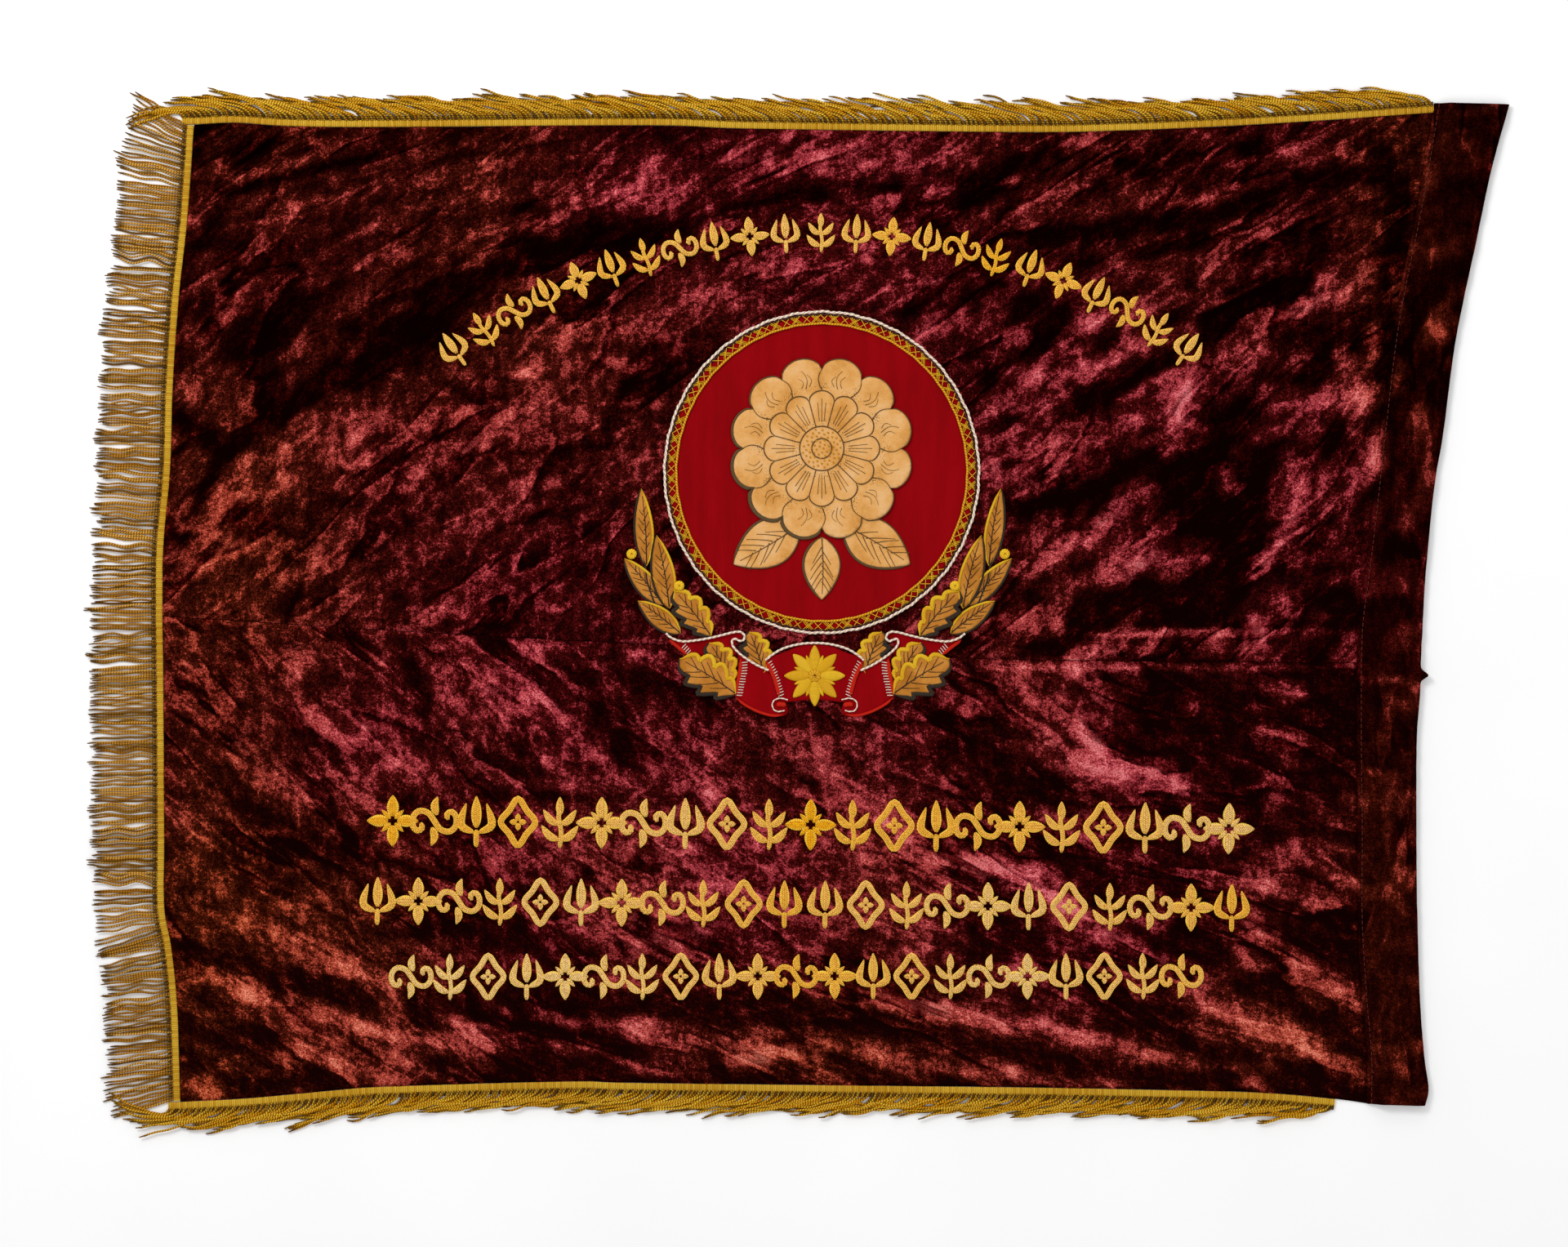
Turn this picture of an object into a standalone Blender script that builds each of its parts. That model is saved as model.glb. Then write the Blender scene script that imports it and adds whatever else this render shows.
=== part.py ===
"""Velvet parade banner lying face up on a flat surface.

Two velvet widths are joined by a seam across the middle. A strip of velvet, folded double, is sewn down the
pole side as a sleeve for the pole. Corded fringe on a woven heading edges the other three sides, and an
emblem of applied felt and satin pieces is sewn on in the middle.

Metres. The origin is under the middle of the banner, on the surface that it lies on. +X runs to the pole
side, +Y to the top edge and +Z up out of the face.
"""

import math
from collections import namedtuple

import bmesh
import bpy
from mathutils import Vector

# Cloth, tape and felt as bought.
SEWN_GAP = 0.0003
VELVET_THICK = 0.0022
FELT_THICK = 0.0010
LAYER_STEP = FELT_THICK + SEWN_GAP
HEADING_WIDTH = 0.0135
HEADING_THICK = 0.0026
HEADING_CORNER_GAP = 0.0015

# The edges of the velvet where the fringe heading and the sleeve meet it, as (x, y).
FLY_EDGE_LOWER = [
    (-0.725, -0.584), (-0.729, -0.468), (-0.736, -0.400), (-0.744, -0.354),
    (-0.744, -0.266), (-0.745, -0.095), (-0.746, -0.013),
]
FLY_EDGE_UPPER = [
    (-0.746, -0.013), (-0.745, 0.068), (-0.737, 0.160), (-0.734, 0.255),
    (-0.727, 0.360), (-0.717, 0.452), (-0.709, 0.565),
]
TOP_EDGE = [
    (-0.709, 0.565), (-0.660, 0.567), (-0.594, 0.563), (-0.481, 0.562), (-0.176, 0.564),
    (-0.050, 0.560), (0.263, 0.556), (0.382, 0.558), (0.502, 0.563), (0.621, 0.570), (0.749, 0.579),
]
BOTTOM_EDGE = [
    (-0.725, -0.584), (-0.648, -0.580), (-0.549, -0.571), (-0.481, -0.566), (-0.265, -0.560),
    (-0.176, -0.562), (0.263, -0.567), (0.422, -0.570), (0.541, -0.573), (0.627, -0.580), (0.671, -0.586),
]
WIDTH_JOIN = [(-0.746, -0.013), (-0.390, -0.035), (0.000, -0.054), (0.263, -0.064), (0.659, -0.068)]
SLEEVE_SEAM_LOWER = [
    (0.671, -0.586), (0.671, -0.529), (0.665, -0.457), (0.660, -0.370), (0.660, -0.265), (0.659, -0.165),
    (0.659, -0.068),
]
SLEEVE_SEAM_UPPER = [
    (0.659, -0.068), (0.661, -0.020), (0.669, 0.042), (0.679, 0.126), (0.689, 0.217), (0.704, 0.336),
    (0.730, 0.467), (0.749, 0.579),
]
SLEEVE_TOP_INNER = (0.751, 0.590)
HOIST_EDGE = [
    (0.738, -0.588), (0.742, -0.568), (0.737, -0.529), (0.732, -0.465), (0.729, -0.370), (0.728, -0.309),
    (0.728, -0.165), (0.732, -0.104), (0.733, -0.066), (0.735, -0.026), (0.739, 0.042), (0.749, 0.141),
    (0.759, 0.200), (0.774, 0.312), (0.798, 0.427), (0.816, 0.512), (0.837, 0.588),
]

# The loose folds of the velvet: soft ridges from a start to an end, with their half width and height. A ridge
# keeps a share of its height at its ends, and is full within a quarter of its length.
Fold = namedtuple("Fold", "x0 y0 x1 y1 half_width height")
FOLD_END_SHARE = 0.35
FOLD_RISE = 4
FOLDS = [
    Fold(-0.66, 0.20, -0.33, 0.37, 0.035, 0.0045),
    Fold(-0.33, 0.37, 0.02, 0.47, 0.035, 0.0045),
    Fold(-0.45, 0.19, -0.23, 0.28, 0.030, 0.0040),
    Fold(0.24, 0.31, 0.55, 0.47, 0.030, 0.0050),
    Fold(0.26, 0.14, 0.58, 0.33, 0.032, 0.0060),
    Fold(0.30, 0.05, 0.50, 0.22, 0.025, 0.0045),
    Fold(0.53, 0.00, 0.63, 0.20, 0.025, 0.0040),
    Fold(-0.68, -0.22, -0.45, -0.44, 0.035, 0.0045),
    Fold(-0.40, -0.10, -0.25, -0.28, 0.030, 0.0040),
    Fold(-0.45, -0.44, 0.10, -0.49, 0.030, 0.0050),
    Fold(0.02, -0.21, 0.27, -0.36, 0.032, 0.0050),
    Fold(0.22, -0.08, 0.56, -0.26, 0.032, 0.0050),
    Fold(0.10, -0.40, 0.60, -0.54, 0.030, 0.0065),
    Fold(-0.05, -0.33, 0.52, -0.46, 0.025, 0.0045),
]
FLAT_EDGE_SHARE = 0.09
FIELD_COLUMNS = 36
UPPER_ROWS = 14
LOWER_ROWS = 13

# The emblem is stiffened by its stitching, so the cloth lies flat round it.
EMBLEM_X = 0.029
EMBLEM_FLAT_Y = 0.105
EMBLEM_FLAT_RADIUS = 0.300
EMBLEM_EASE = 0.070

# The pole sleeve: how far it stands open, its sewn-down margin, how far its sides take to rise to its roof,
# and how uneven it is. A fold is pinched at its outer edge.
SLEEVE_HOLLOW = 0.0068
SLEEVE_MARGIN = 0.007
SLEEVE_SHOULDER = 0.009
SLEEVE_UNEVEN = 0.10
PINCH_PUFF = 0.12
STATION_MIN_STEP = 0.0015
PINCH_Y = -0.081
PINCH_REACH = 0.009
PINCH_HALF_WIDTH = 0.006
PINCH_OFFSETS = (-0.014, -0.006, 0.0, 0.006, 0.014)

# Fringe: the real cords are 4.4 mm apart. Here a lock stands for four of them. A lean is an angle back from
# straight out, as (share along, degrees), and the top and bottom locks curl flatter towards their tips.
Fringe = namedtuple("Fringe", "name locks leans curl stray seed")
STRAND_LENGTH = 0.074
LOCK_SHARE = 0.62
LOCK_TIP_SCALE = 0.62
LOCK_STATIONS = (0.0, 0.34, 0.70, 1.0)
TOP_FRINGE = Fringe("fringe_top", 78, ((0.0, 83), (0.06, 73), (0.75, 70), (1.0, 78)), 16, 0.8, 3)
FLY_FRINGE = Fringe("fringe_fly", 68, ((0.0, 12), (0.10, 2), (0.93, 0), (1.0, -6)), 0, 3.0, 5)
BOTTOM_FRINGE = Fringe("fringe_bottom", 70, ((0.0, 76), (0.5, 74), (0.90, 75), (1.0, 81)), 14, 0.8, 8)

# The medallion, a little taller than it is wide. A petal's end is rounder the smaller its roundness is.
MEDALLION_Y = 0.156
MEDALLION_HALF_WIDTH = 0.1825
MEDALLION_HALF_HEIGHT = 0.1865
MEDALLION_SIDES = 56
EDGE_CORD_RADIUS = 0.0019
GOLD_CORD_RADIUS = 0.0013
GOLD_CORD_INSET = 0.0125
BLOSSOM_LIFT = 0.028
BLOSSOM_RADIUS = 0.108
BLOSSOM_PETALS = 12
BLOSSOM_NOTCH = 0.015
PETAL_ROUNDNESS = 0.55
PETAL_STEPS = 8

# Leaves of the left spray, measured outwards from the emblem's middle line; the right spray follows them.
Leaf = namedtuple("Leaf", "name out_base y_base out_tip y_tip width layer")
LAURELS = [
    Leaf("laurel_a", 0.206, 0.046, 0.212, 0.137, 0.0215, 0),
    Leaf("laurel_b", 0.179, -0.004, 0.194, 0.082, 0.0265, 1),
    Leaf("laurel_c", 0.186, 0.000, 0.232, 0.055, 0.0240, 0),
    Leaf("laurel_d", 0.166, -0.033, 0.216, 0.005, 0.0235, 0),
]
OAKS = [
    Leaf("oak_rear", 0.130, -0.036, 0.173, 0.017, 0.0350, 2),
    Leaf("oak_lower", 0.101, -0.104, 0.167, -0.063, 0.0450, 2),
    Leaf("oak_upper", 0.105, -0.091, 0.132, -0.044, 0.0350, 1),
    Leaf("oak_small", 0.068, -0.080, 0.085, -0.031, 0.0330, 0),
]
BLOSSOM_LEAVES = [
    Leaf("blossom_leaf_fly", -0.026, 0.094, -0.104, 0.048, 0.0560, 1),
    Leaf("blossom_leaf_pole", 0.026, 0.094, 0.104, 0.048, 0.0560, 1),
    Leaf("blossom_leaf_low", 0.0, 0.080, 0.0, 0.006, 0.0440, 1),
]
LAUREL_STEPS = 7
OAK_STEPS = 28
OAK_LOBES = 3.5
OAK_LOBE_DEPTH = 0.36
Berry = namedtuple("Berry", "name out y layer")
BERRIES = [Berry("berry_outer", 0.2235, 0.0600, 0), Berry("berry_inner", 0.1675, 0.0225, 3)]
BERRY_RADIUS = 0.0055
BERRY_SIDES = 12

# The ribbon: outlines of its pieces, outwards from the middle line. The middle piece is mirrored on itself.
RIBBON_TAIL = [
    (0.183, -0.034), (0.165, -0.042), (0.140, -0.040), (0.120, -0.035), (0.101, -0.030), (0.092, -0.032),
    (0.091, -0.039), (0.100, -0.042), (0.102, -0.050), (0.104, -0.060), (0.150, -0.059), (0.170, -0.046),
]
RIBBON_SIDE = [
    (0.0995, -0.0525), (0.094, -0.060), (0.080, -0.067), (0.063, -0.078), (0.055, -0.088), (0.0475, -0.105),
    (0.041, -0.118), (0.041, -0.128), (0.052, -0.131), (0.072, -0.127), (0.090, -0.116), (0.1015, -0.106),
    (0.0965, -0.095), (0.0950, -0.078),
]
# How much nearer the middle line the pole side lies, as (y, how much), and the ribbon's own middle.
POLE_SHIFT = [
    (-0.131, 0.0165), (-0.060, 0.0170), (-0.030, 0.0145), (0.005, 0.0125), (0.065, 0.0080), (0.138, 0.0016),
]
RIBBON_X = 0.0207
RIBBON_SQUEEZE = 0.875
RIBBON_MIDDLE_HALF = [
    (0.0, -0.0455), (0.020, -0.0475), (0.040, -0.055), (0.066, -0.0645), (0.056, -0.085), (0.047, -0.104),
    (0.044, -0.1135), (0.020, -0.1125), (0.0, -0.1105),
]
ROSETTE_Y = -0.0830
ROSETTE_RADIUS = 0.036
ROSETTE_PETALS = 8
ROSETTE_NOTCH = 0.0085
ROSETTE_THICK = 0.0020

Finish = namedtuple("Finish", "name colour roughness")
VELVET = Finish("velvet", (0.115, 0.010, 0.014, 1.0), 0.85)
GOLD_YARN = Finish("gold_yarn", (0.45, 0.24, 0.03, 1.0), 0.65)
RED_SATIN = Finish("red_satin", (0.24, 0.004, 0.006, 1.0), 0.55)
WHITE_CORD = Finish("white_cord", (0.75, 0.60, 0.42, 1.0), 0.70)
SAND_FELT = Finish("sand_felt", (0.60, 0.33, 0.13, 1.0), 0.90)
GOLD_FELT = Finish("gold_felt", (0.48, 0.21, 0.04, 1.0), 0.85)


def clear_scene():
    """Removes whatever the file holds."""
    for old in list(bpy.data.objects):
        bpy.data.objects.remove(old)


def link_piece(name, data, finish):
    """Puts one named piece in the scene, with a material of its own."""
    material = bpy.data.materials.new(f"{name}_{finish.name}")
    material.use_nodes = True
    shader = material.node_tree.nodes["Principled BSDF"]
    shader.inputs["Base Color"].default_value = finish.colour
    shader.inputs["Roughness"].default_value = finish.roughness
    data.materials.append(material)
    piece = bpy.data.objects.new(name, data)
    bpy.context.scene.collection.objects.link(piece)
    return piece


def face_outwards(shape):
    """Makes all the faces of a closed shape point out."""
    bmesh.ops.recalc_face_normals(shape, faces=shape.faces)


def mesh_piece(name, shape, finish):
    """Turns a finished bmesh into a named piece."""
    mesh = bpy.data.meshes.new(name)
    shape.to_mesh(mesh)
    shape.free()
    return link_piece(name, mesh, finish)


def ease(value):
    """Smooth step from 0 to 1, held at both ends."""
    held = max(0.0, min(1.0, value))
    return held * held * (3 - 2 * held)


def wobble(index, seed):
    """A repeatable uneven number from -1 to 1."""
    return math.sin(index * 12.9898 + seed * 78.233) * math.cos(index * 4.1414 + seed * 3.77)


def arc_point(before, start, end, after, share):
    """A point of the Catmull-Rom arc from start to end."""
    square, cube = share * share, share**3
    return 0.5 * (
        2 * start + (end - before) * share
        + (2 * before - 5 * start + 4 * end - after) * square
        + (3 * start - 3 * end + after - before) * cube
    )


def smooth_line(points, steps=12):
    """A smooth line through flat points."""
    spots = [Vector(p) for p in points]
    ends = [2 * spots[0] - spots[1], *spots, 2 * spots[-1] - spots[-2]]
    fine = [spots[0]]
    for before, start, end, after in zip(ends, ends[1:], ends[2:], ends[3:]):
        fine += [arc_point(before, start, end, after, step / steps) for step in range(1, steps + 1)]
    return Line(fine)


class Line:
    """A flat line of straight steps, walked by a share of its length from 0 to 1."""

    def __init__(self, points):
        self.fine = [Vector(p) for p in points]
        self.walked = [0.0]
        for start, end in zip(self.fine, self.fine[1:]):
            self.walked.append(self.walked[-1] + (end - start).length)

    def chords(self, count):
        """Points that cut the line into equal parts, so that neighbours can share the same straight steps."""
        return [self.at(index / count) for index in range(count + 1)]

    def at(self, share):
        """The point at a share of the whole length."""
        wanted = max(0.0, min(1.0, share)) * self.walked[-1]
        for index in range(1, len(self.walked)):
            if self.walked[index] >= wanted:
                span = self.walked[index] - self.walked[index - 1]
                part = (wanted - self.walked[index - 1]) / span if span else 0.0
                return self.fine[index - 1].lerp(self.fine[index], part)
        return self.fine[-1]

    def outward(self, share):
        """The unit normal on the left of the way that the line runs."""
        step = 0.02
        along = (self.at(share + step) - self.at(share - step)).normalized()
        return Vector((-along.y, along.x))


def fold_height(x, y):
    """How far the loose folds lift the velvet off the surface, clear of the flat emblem."""
    lift = 0.0
    for fold in FOLDS:
        start = Vector((fold.x0, fold.y0))
        run = Vector((fold.x1, fold.y1)) - start
        to_point = Vector((x, y)) - start
        share = max(0.0, min(1.0, to_point.dot(run) / run.length_squared))
        away = (to_point - run * share).length / fold.half_width
        taper = ease(min(share, 1 - share) * FOLD_RISE + FOLD_END_SHARE)
        lift += fold.height * taper * math.exp(-away * away)
    from_emblem = math.hypot(x - EMBLEM_X, y - EMBLEM_FLAT_Y)
    return lift * ease((from_emblem - EMBLEM_FLAT_RADIUS) / EMBLEM_EASE)


def patch_point(left, right, bottom, top, u, v):
    """A point inside four border lines, blended from all of them. u runs to the right and v up."""
    across = left.at(v).lerp(right.at(v), u)
    along = bottom.at(u).lerp(top.at(u), v)
    low = left.at(0).lerp(right.at(0), u)
    high = left.at(1).lerp(right.at(1), u)
    return across + along - low.lerp(high, v)


def velvet_panel(name, borders, rows, outer_edge_v):
    """One velvet width on its folds, flat at the sewn edges. outer_edge_v is the v of its outer edge."""
    sheet = bmesh.new()
    grid = []
    for row in range(rows + 1):
        line = []
        for column in range(FIELD_COLUMNS + 1):
            u, v = column / FIELD_COLUMNS, row / rows
            spot = patch_point(*borders, u, v)
            sides = ease(min(u, 1 - u) / FLAT_EDGE_SHARE)
            ends = ease(abs(v - outer_edge_v) / (2 * FLAT_EDGE_SHARE))
            line.append(sheet.verts.new((spot.x, spot.y, fold_height(*spot) * sides * ends)))
        grid.append(line)
    for low, high in zip(grid, grid[1:]):
        for column in range(FIELD_COLUMNS):
            sheet.faces.new((low[column], low[column + 1], high[column + 1], high[column]))
    piece = mesh_piece(name, sheet, VELVET)
    thickness = piece.modifiers.new("velvet_thickness", "SOLIDIFY")
    thickness.thickness = VELVET_THICK
    thickness.offset = 1.0
    return piece


def shifted(points, dx, dy):
    """The points of a border, moved aside."""
    return [(x + dx, y + dy) for x, y in points]


def make_velvet():
    """Makes both velvet widths, a sewn gap apart, and returns the borders that other pieces are sewn to."""
    up, down = SEWN_GAP / 2, -SEWN_GAP / 2
    fly_upper = smooth_line(shifted(FLY_EDGE_UPPER, 0, up))
    fly_lower = smooth_line(shifted(FLY_EDGE_LOWER, 0, down))
    seam_upper = smooth_line(shifted(SLEEVE_SEAM_UPPER, 0, up))
    seam_lower = smooth_line(shifted(SLEEVE_SEAM_LOWER, 0, down))
    top, bottom = smooth_line(TOP_EDGE), smooth_line(BOTTOM_EDGE)
    join_upper = smooth_line(shifted(WIDTH_JOIN, 0, up))
    join_lower = smooth_line(shifted(WIDTH_JOIN, 0, down))
    velvet_panel("velvet_upper", (fly_upper, seam_upper, join_upper, top), UPPER_ROWS, 1.0)
    velvet_panel("velvet_lower", (fly_lower, seam_lower, bottom, join_lower), LOWER_ROWS, 0.0)
    return {
        "top": top.chords(FIELD_COLUMNS),
        "bottom": bottom.chords(FIELD_COLUMNS),
        "fly": fly_lower.chords(LOWER_ROWS) + fly_upper.chords(UPPER_ROWS),
        "seam": seam_lower.chords(LOWER_ROWS) + seam_upper.chords(UPPER_ROWS),
    }


def sleeve_section(width, puff):
    """The sleeve cut across: matching outer and inner loops of (across, up), from the seam round the fold."""
    wall, lip, rise = VELVET_THICK, SLEEVE_MARGIN, SLEEVE_SHOULDER
    roof = wall + SLEEVE_HOLLOW * puff
    outer = [
        (0.0, 0.0), (0.5 * width, 0.0), (width - 1.4 * wall, 0.0), (width, 0.5 * roof), (width - wall, roof),
        (width - rise, roof + wall), (0.5 * width, roof + wall), (lip + rise, roof + wall),
        (lip, 2.3 * wall), (0.0, 1.6 * wall),
    ]
    inner = [
        (lip + rise, wall), (0.5 * width, wall), (width - 1.9 * wall, wall), (width - wall, 0.5 * roof),
        (width - 1.9 * wall, 0.93 * roof), (width - rise - 0.4 * wall, roof), (0.5 * width, roof),
        (lip + rise + 0.5 * wall, roof), (lip + 1.6 * wall, 1.45 * wall), (lip - 0.5 * wall, 1.15 * wall),
    ]
    return outer, inner


def sleeve_shares(seam):
    """Where the sleeve is cut across: at every step of its seam, and closer together at the pinched fold."""
    length = seam.walked[-1]
    steps = [walked / length for walked in seam.walked]
    above = next(index for index, spot in enumerate(seam.fine) if spot.y > PINCH_Y)
    pinch = steps[above] - (seam.fine[above].y - PINCH_Y) / length
    near = [pinch + offset / length for offset in PINCH_OFFSETS]
    shares = sorted(steps + near)
    clear = STATION_MIN_STEP / length
    return [shares[0]] + [b for a, b in zip(shares, shares[1:]) if b - a > clear]


def make_sleeve(seam_points):
    """The pole sleeve, a flattened tube of velvet, open at both ends and sewn down along its seam."""
    seam = Line([*shifted(seam_points, SEWN_GAP, 0), SLEEVE_TOP_INNER])
    hoist = smooth_line(HOIST_EDGE)
    tube = bmesh.new()
    stations = []
    for index, share in enumerate(sleeve_shares(seam)):
        start, end = seam.at(share), hoist.at(share)
        pinch = math.exp(-(((start.y - PINCH_Y) / PINCH_HALF_WIDTH) ** 2))
        across = (end - start).normalized()
        width = (end - start).length + PINCH_REACH * pinch
        puff = 1.0 + SLEEVE_UNEVEN * wobble(index, 2) + PINCH_PUFF * pinch
        loops = []
        for loop in sleeve_section(width, puff):
            spots = [(start + across * reach, height) for reach, height in loop]
            loops.append([tube.verts.new((spot.x, spot.y, height)) for spot, height in spots])
        stations.append(loops)
    for (outer, inner), (next_outer, next_inner) in zip(stations, stations[1:]):
        join_loops(tube, outer, next_outer)
        join_loops(tube, inner, next_inner)
    for outer, inner in (stations[0], stations[-1]):
        join_loops(tube, outer, inner)
    face_outwards(tube)
    return mesh_piece("pole_sleeve", tube, VELVET)


def join_loops(shape, loop, other):
    """Faces between two closed loops of as many points."""
    for a in range(len(loop)):
        b = (a + 1) % len(loop)
        shape.faces.new((loop[a], loop[b], other[b], other[a]))


def lock_lean(fringe, share):
    """How many degrees a lock leans back along its edge."""
    for (before, low), (after, high) in zip(fringe.leans, fringe.leans[1:]):
        if share <= after:
            return low + (high - low) * (share - before) / (after - before)
    return fringe.leans[-1][1]


def make_fringe(fringe, line, back):
    """A woven heading with its locks, one solid. back is 1 where the locks lean back along the line."""
    shares = [0.0]
    for lock in range(fringe.locks):
        shares += [(lock + 0.5 + side * LOCK_SHARE / 2) / fringe.locks for side in (-1, 1)]
    shares.append(1.0)
    shape = bmesh.new()
    stations = []
    for share in shares:
        spot, out = line.at(share), line.outward(share)
        near, far = spot + out * SEWN_GAP, spot + out * HEADING_WIDTH
        corners = ((near, 0.0), (near, HEADING_THICK), (far, HEADING_THICK), (far, 0.0))
        stations.append([shape.verts.new((edge.x, edge.y, height)) for edge, height in corners])
    shape.faces.new(stations[0])
    shape.faces.new(stations[-1])
    roots = []
    for here, after in zip(stations, stations[1:]):
        sides = [
            shape.faces.new((here[a], here[(a + 1) % 4], after[(a + 1) % 4], after[a])) for a in range(4)
        ]
        roots.append(sides[2])
    face_outwards(shape)
    for lock in range(fringe.locks):
        share = (lock + 0.5) / fringe.locks
        grow_lock(shape, roots[2 * lock + 1], fringe, line.outward(share), back, lock, share)
    return mesh_piece(fringe.name, shape, GOLD_YARN)


def grow_lock(shape, end, fringe, out, back, lock, share):
    """Draws one lock out of the heading's outer side, step by step, thinner towards its tip."""
    along = Vector((out.y, -out.x))
    lean = lock_lean(fringe, share) + fringe.stray * wobble(lock, fringe.seed)
    length = STRAND_LENGTH * (1.0 + 0.05 * wobble(lock, fringe.seed + 1))
    size = 1.0
    for before, station in zip(LOCK_STATIONS, LOCK_STATIONS[1:]):
        turn = math.radians(lean + fringe.curl * (before + station - 1.0))
        step = (out * math.cos(turn) - along * (back * math.sin(turn))) * (length * (station - before))
        new_size = 1.0 + (LOCK_TIP_SCALE - 1.0) * station
        end = bmesh.ops.extrude_discrete_faces(shape, faces=[end])["faces"][0]
        middle = end.calc_center_median().xy
        for vertex in end.verts:
            flat = middle + step + (vertex.co.xy - middle) * (new_size / size)
            vertex.co = (flat.x, flat.y, vertex.co.z * new_size / size)
        size = new_size


def make_fringes(borders):
    """The three fringes. Top and bottom headings run over the corners of the fly heading."""
    corner = Vector((HEADING_WIDTH + 2 * SEWN_GAP, 0))
    top = [borders["top"][0] - corner, *borders["top"]]
    fly = list(borders["fly"])
    fly[0] = fly[0] + Vector((0, HEADING_CORNER_GAP))
    fly[-1] = fly[-1] - Vector((0, HEADING_CORNER_GAP))
    bottom = [*borders["bottom"][-2::-1], borders["bottom"][0] - corner]
    make_fringe(TOP_FRINGE, Line(top), 1)
    make_fringe(FLY_FRINGE, Line(fly), 1)
    make_fringe(BOTTOM_FRINGE, Line(bottom), -1)


def layer_height(layer):
    """The underside of an applied piece, one sewn gap above the velvet or above the layer under it."""
    return VELVET_THICK + SEWN_GAP + layer * LAYER_STEP


def applied(name, outline, layer, thick, finish):
    """A flat cut piece: a closed outline of flat points, given thickness."""
    shape = bmesh.new()
    underside = shape.faces.new([shape.verts.new((x, y, layer_height(layer))) for x, y in outline])
    raised = bmesh.ops.extrude_face_region(shape, geom=[underside])["geom"]
    top = [item for item in raised if isinstance(item, bmesh.types.BMVert)]
    bmesh.ops.translate(shape, verts=top, vec=(0.0, 0.0, thick))
    face_outwards(shape)
    return mesh_piece(name, shape, finish)


def oval(radius_x, radius_y, sides, centre):
    """The points of an oval."""
    turns = [2 * math.pi * index / sides for index in range(sides)]
    return [(centre[0] + radius_x * math.cos(t), centre[1] + radius_y * math.sin(t)) for t in turns]


def oval_cord(name, radius_x, radius_y, thick_radius, layer, finish):
    """A closed round cord laid on an oval line round the medallion's centre."""
    curve = bpy.data.curves.new(name, "CURVE")
    curve.dimensions = "3D"
    curve.bevel_depth = thick_radius
    curve.bevel_resolution = 1
    points = oval(radius_x, radius_y, MEDALLION_SIDES, (EMBLEM_X, MEDALLION_Y))
    spline = curve.splines.new("POLY")
    spline.points.add(len(points) - 1)
    spline.use_cyclic_u = True
    for point, (x, y) in zip(spline.points, points):
        point.co = (x, y, layer_height(layer) + thick_radius, 1.0)
    return link_piece(name, curve, finish)


def petals_outline(centre, radius, petals, notch):
    """The outline of a round flower head: petal ends with notches between them."""
    outline = []
    for index in range(petals * PETAL_STEPS):
        turn = 2 * math.pi * index / (petals * PETAL_STEPS)
        swell = abs(math.sin(petals * turn / 2)) ** PETAL_ROUNDNESS
        reach = radius - notch * (1 - swell)
        outline.append((centre[0] + reach * math.sin(turn), centre[1] + reach * math.cos(turn)))
    return outline


def make_medallion():
    """The red ground, its white and gold cords, and the sand felt flower head with its leaves."""
    centre = (EMBLEM_X, MEDALLION_Y)
    ground = oval(MEDALLION_HALF_WIDTH, MEDALLION_HALF_HEIGHT, MEDALLION_SIDES, centre)
    applied("medallion_ground", ground, 0, FELT_THICK, RED_SATIN)
    cord_reach = EDGE_CORD_RADIUS + SEWN_GAP
    oval_cord(
        "medallion_cord", MEDALLION_HALF_WIDTH + cord_reach, MEDALLION_HALF_HEIGHT + cord_reach,
        EDGE_CORD_RADIUS, 0, WHITE_CORD,
    )
    oval_cord(
        "medallion_braid", MEDALLION_HALF_WIDTH - GOLD_CORD_INSET, MEDALLION_HALF_HEIGHT - GOLD_CORD_INSET,
        GOLD_CORD_RADIUS, 1, GOLD_YARN,
    )
    head = (EMBLEM_X, MEDALLION_Y + BLOSSOM_LIFT)
    outline = petals_outline(head, BLOSSOM_RADIUS, BLOSSOM_PETALS, BLOSSOM_NOTCH)
    applied("blossom", outline, 2, FELT_THICK, SAND_FELT)
    for leaf in BLOSSOM_LEAVES:
        outline = [(EMBLEM_X + out, y) for out, y in laurel_outline(leaf)]
        applied(leaf.name, outline, leaf.layer, FELT_THICK, SAND_FELT)


def laurel_outline(leaf):
    """A pointed leaf, widest a little under its middle."""
    shares = [index / LAUREL_STEPS for index in range(LAUREL_STEPS + 1)]
    profile = [(share, math.sin(math.pi * share**0.85) ** 0.80) for share in shares]
    return leaf_outline(leaf, profile)


def oak_outline(leaf):
    """A lobed leaf, broadest beyond its middle."""
    profile = []
    for index in range(OAK_STEPS + 1):
        share = index / OAK_STEPS
        broad = math.sin(math.pi * share**1.15) ** 0.6
        notch = 1.0 - abs(math.sin(math.pi * OAK_LOBES * share)) ** 0.7
        profile.append((share, broad * (1.0 - OAK_LOBE_DEPTH * notch)))
    return leaf_outline(leaf, profile)


def leaf_outline(leaf, profile):
    """Both sides of a leaf from its profile of (share along, share of the half width)."""
    base, tip = Vector((leaf.out_base, leaf.y_base)), Vector((leaf.out_tip, leaf.y_tip))
    along = tip - base
    side = Vector((-along.y, along.x)).normalized() * (leaf.width / 2)
    right = [base + along * share + side * wide for share, wide in profile]
    left = [base + along * share - side * wide for share, wide in profile[-2:0:-1]]
    return right + left


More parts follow.
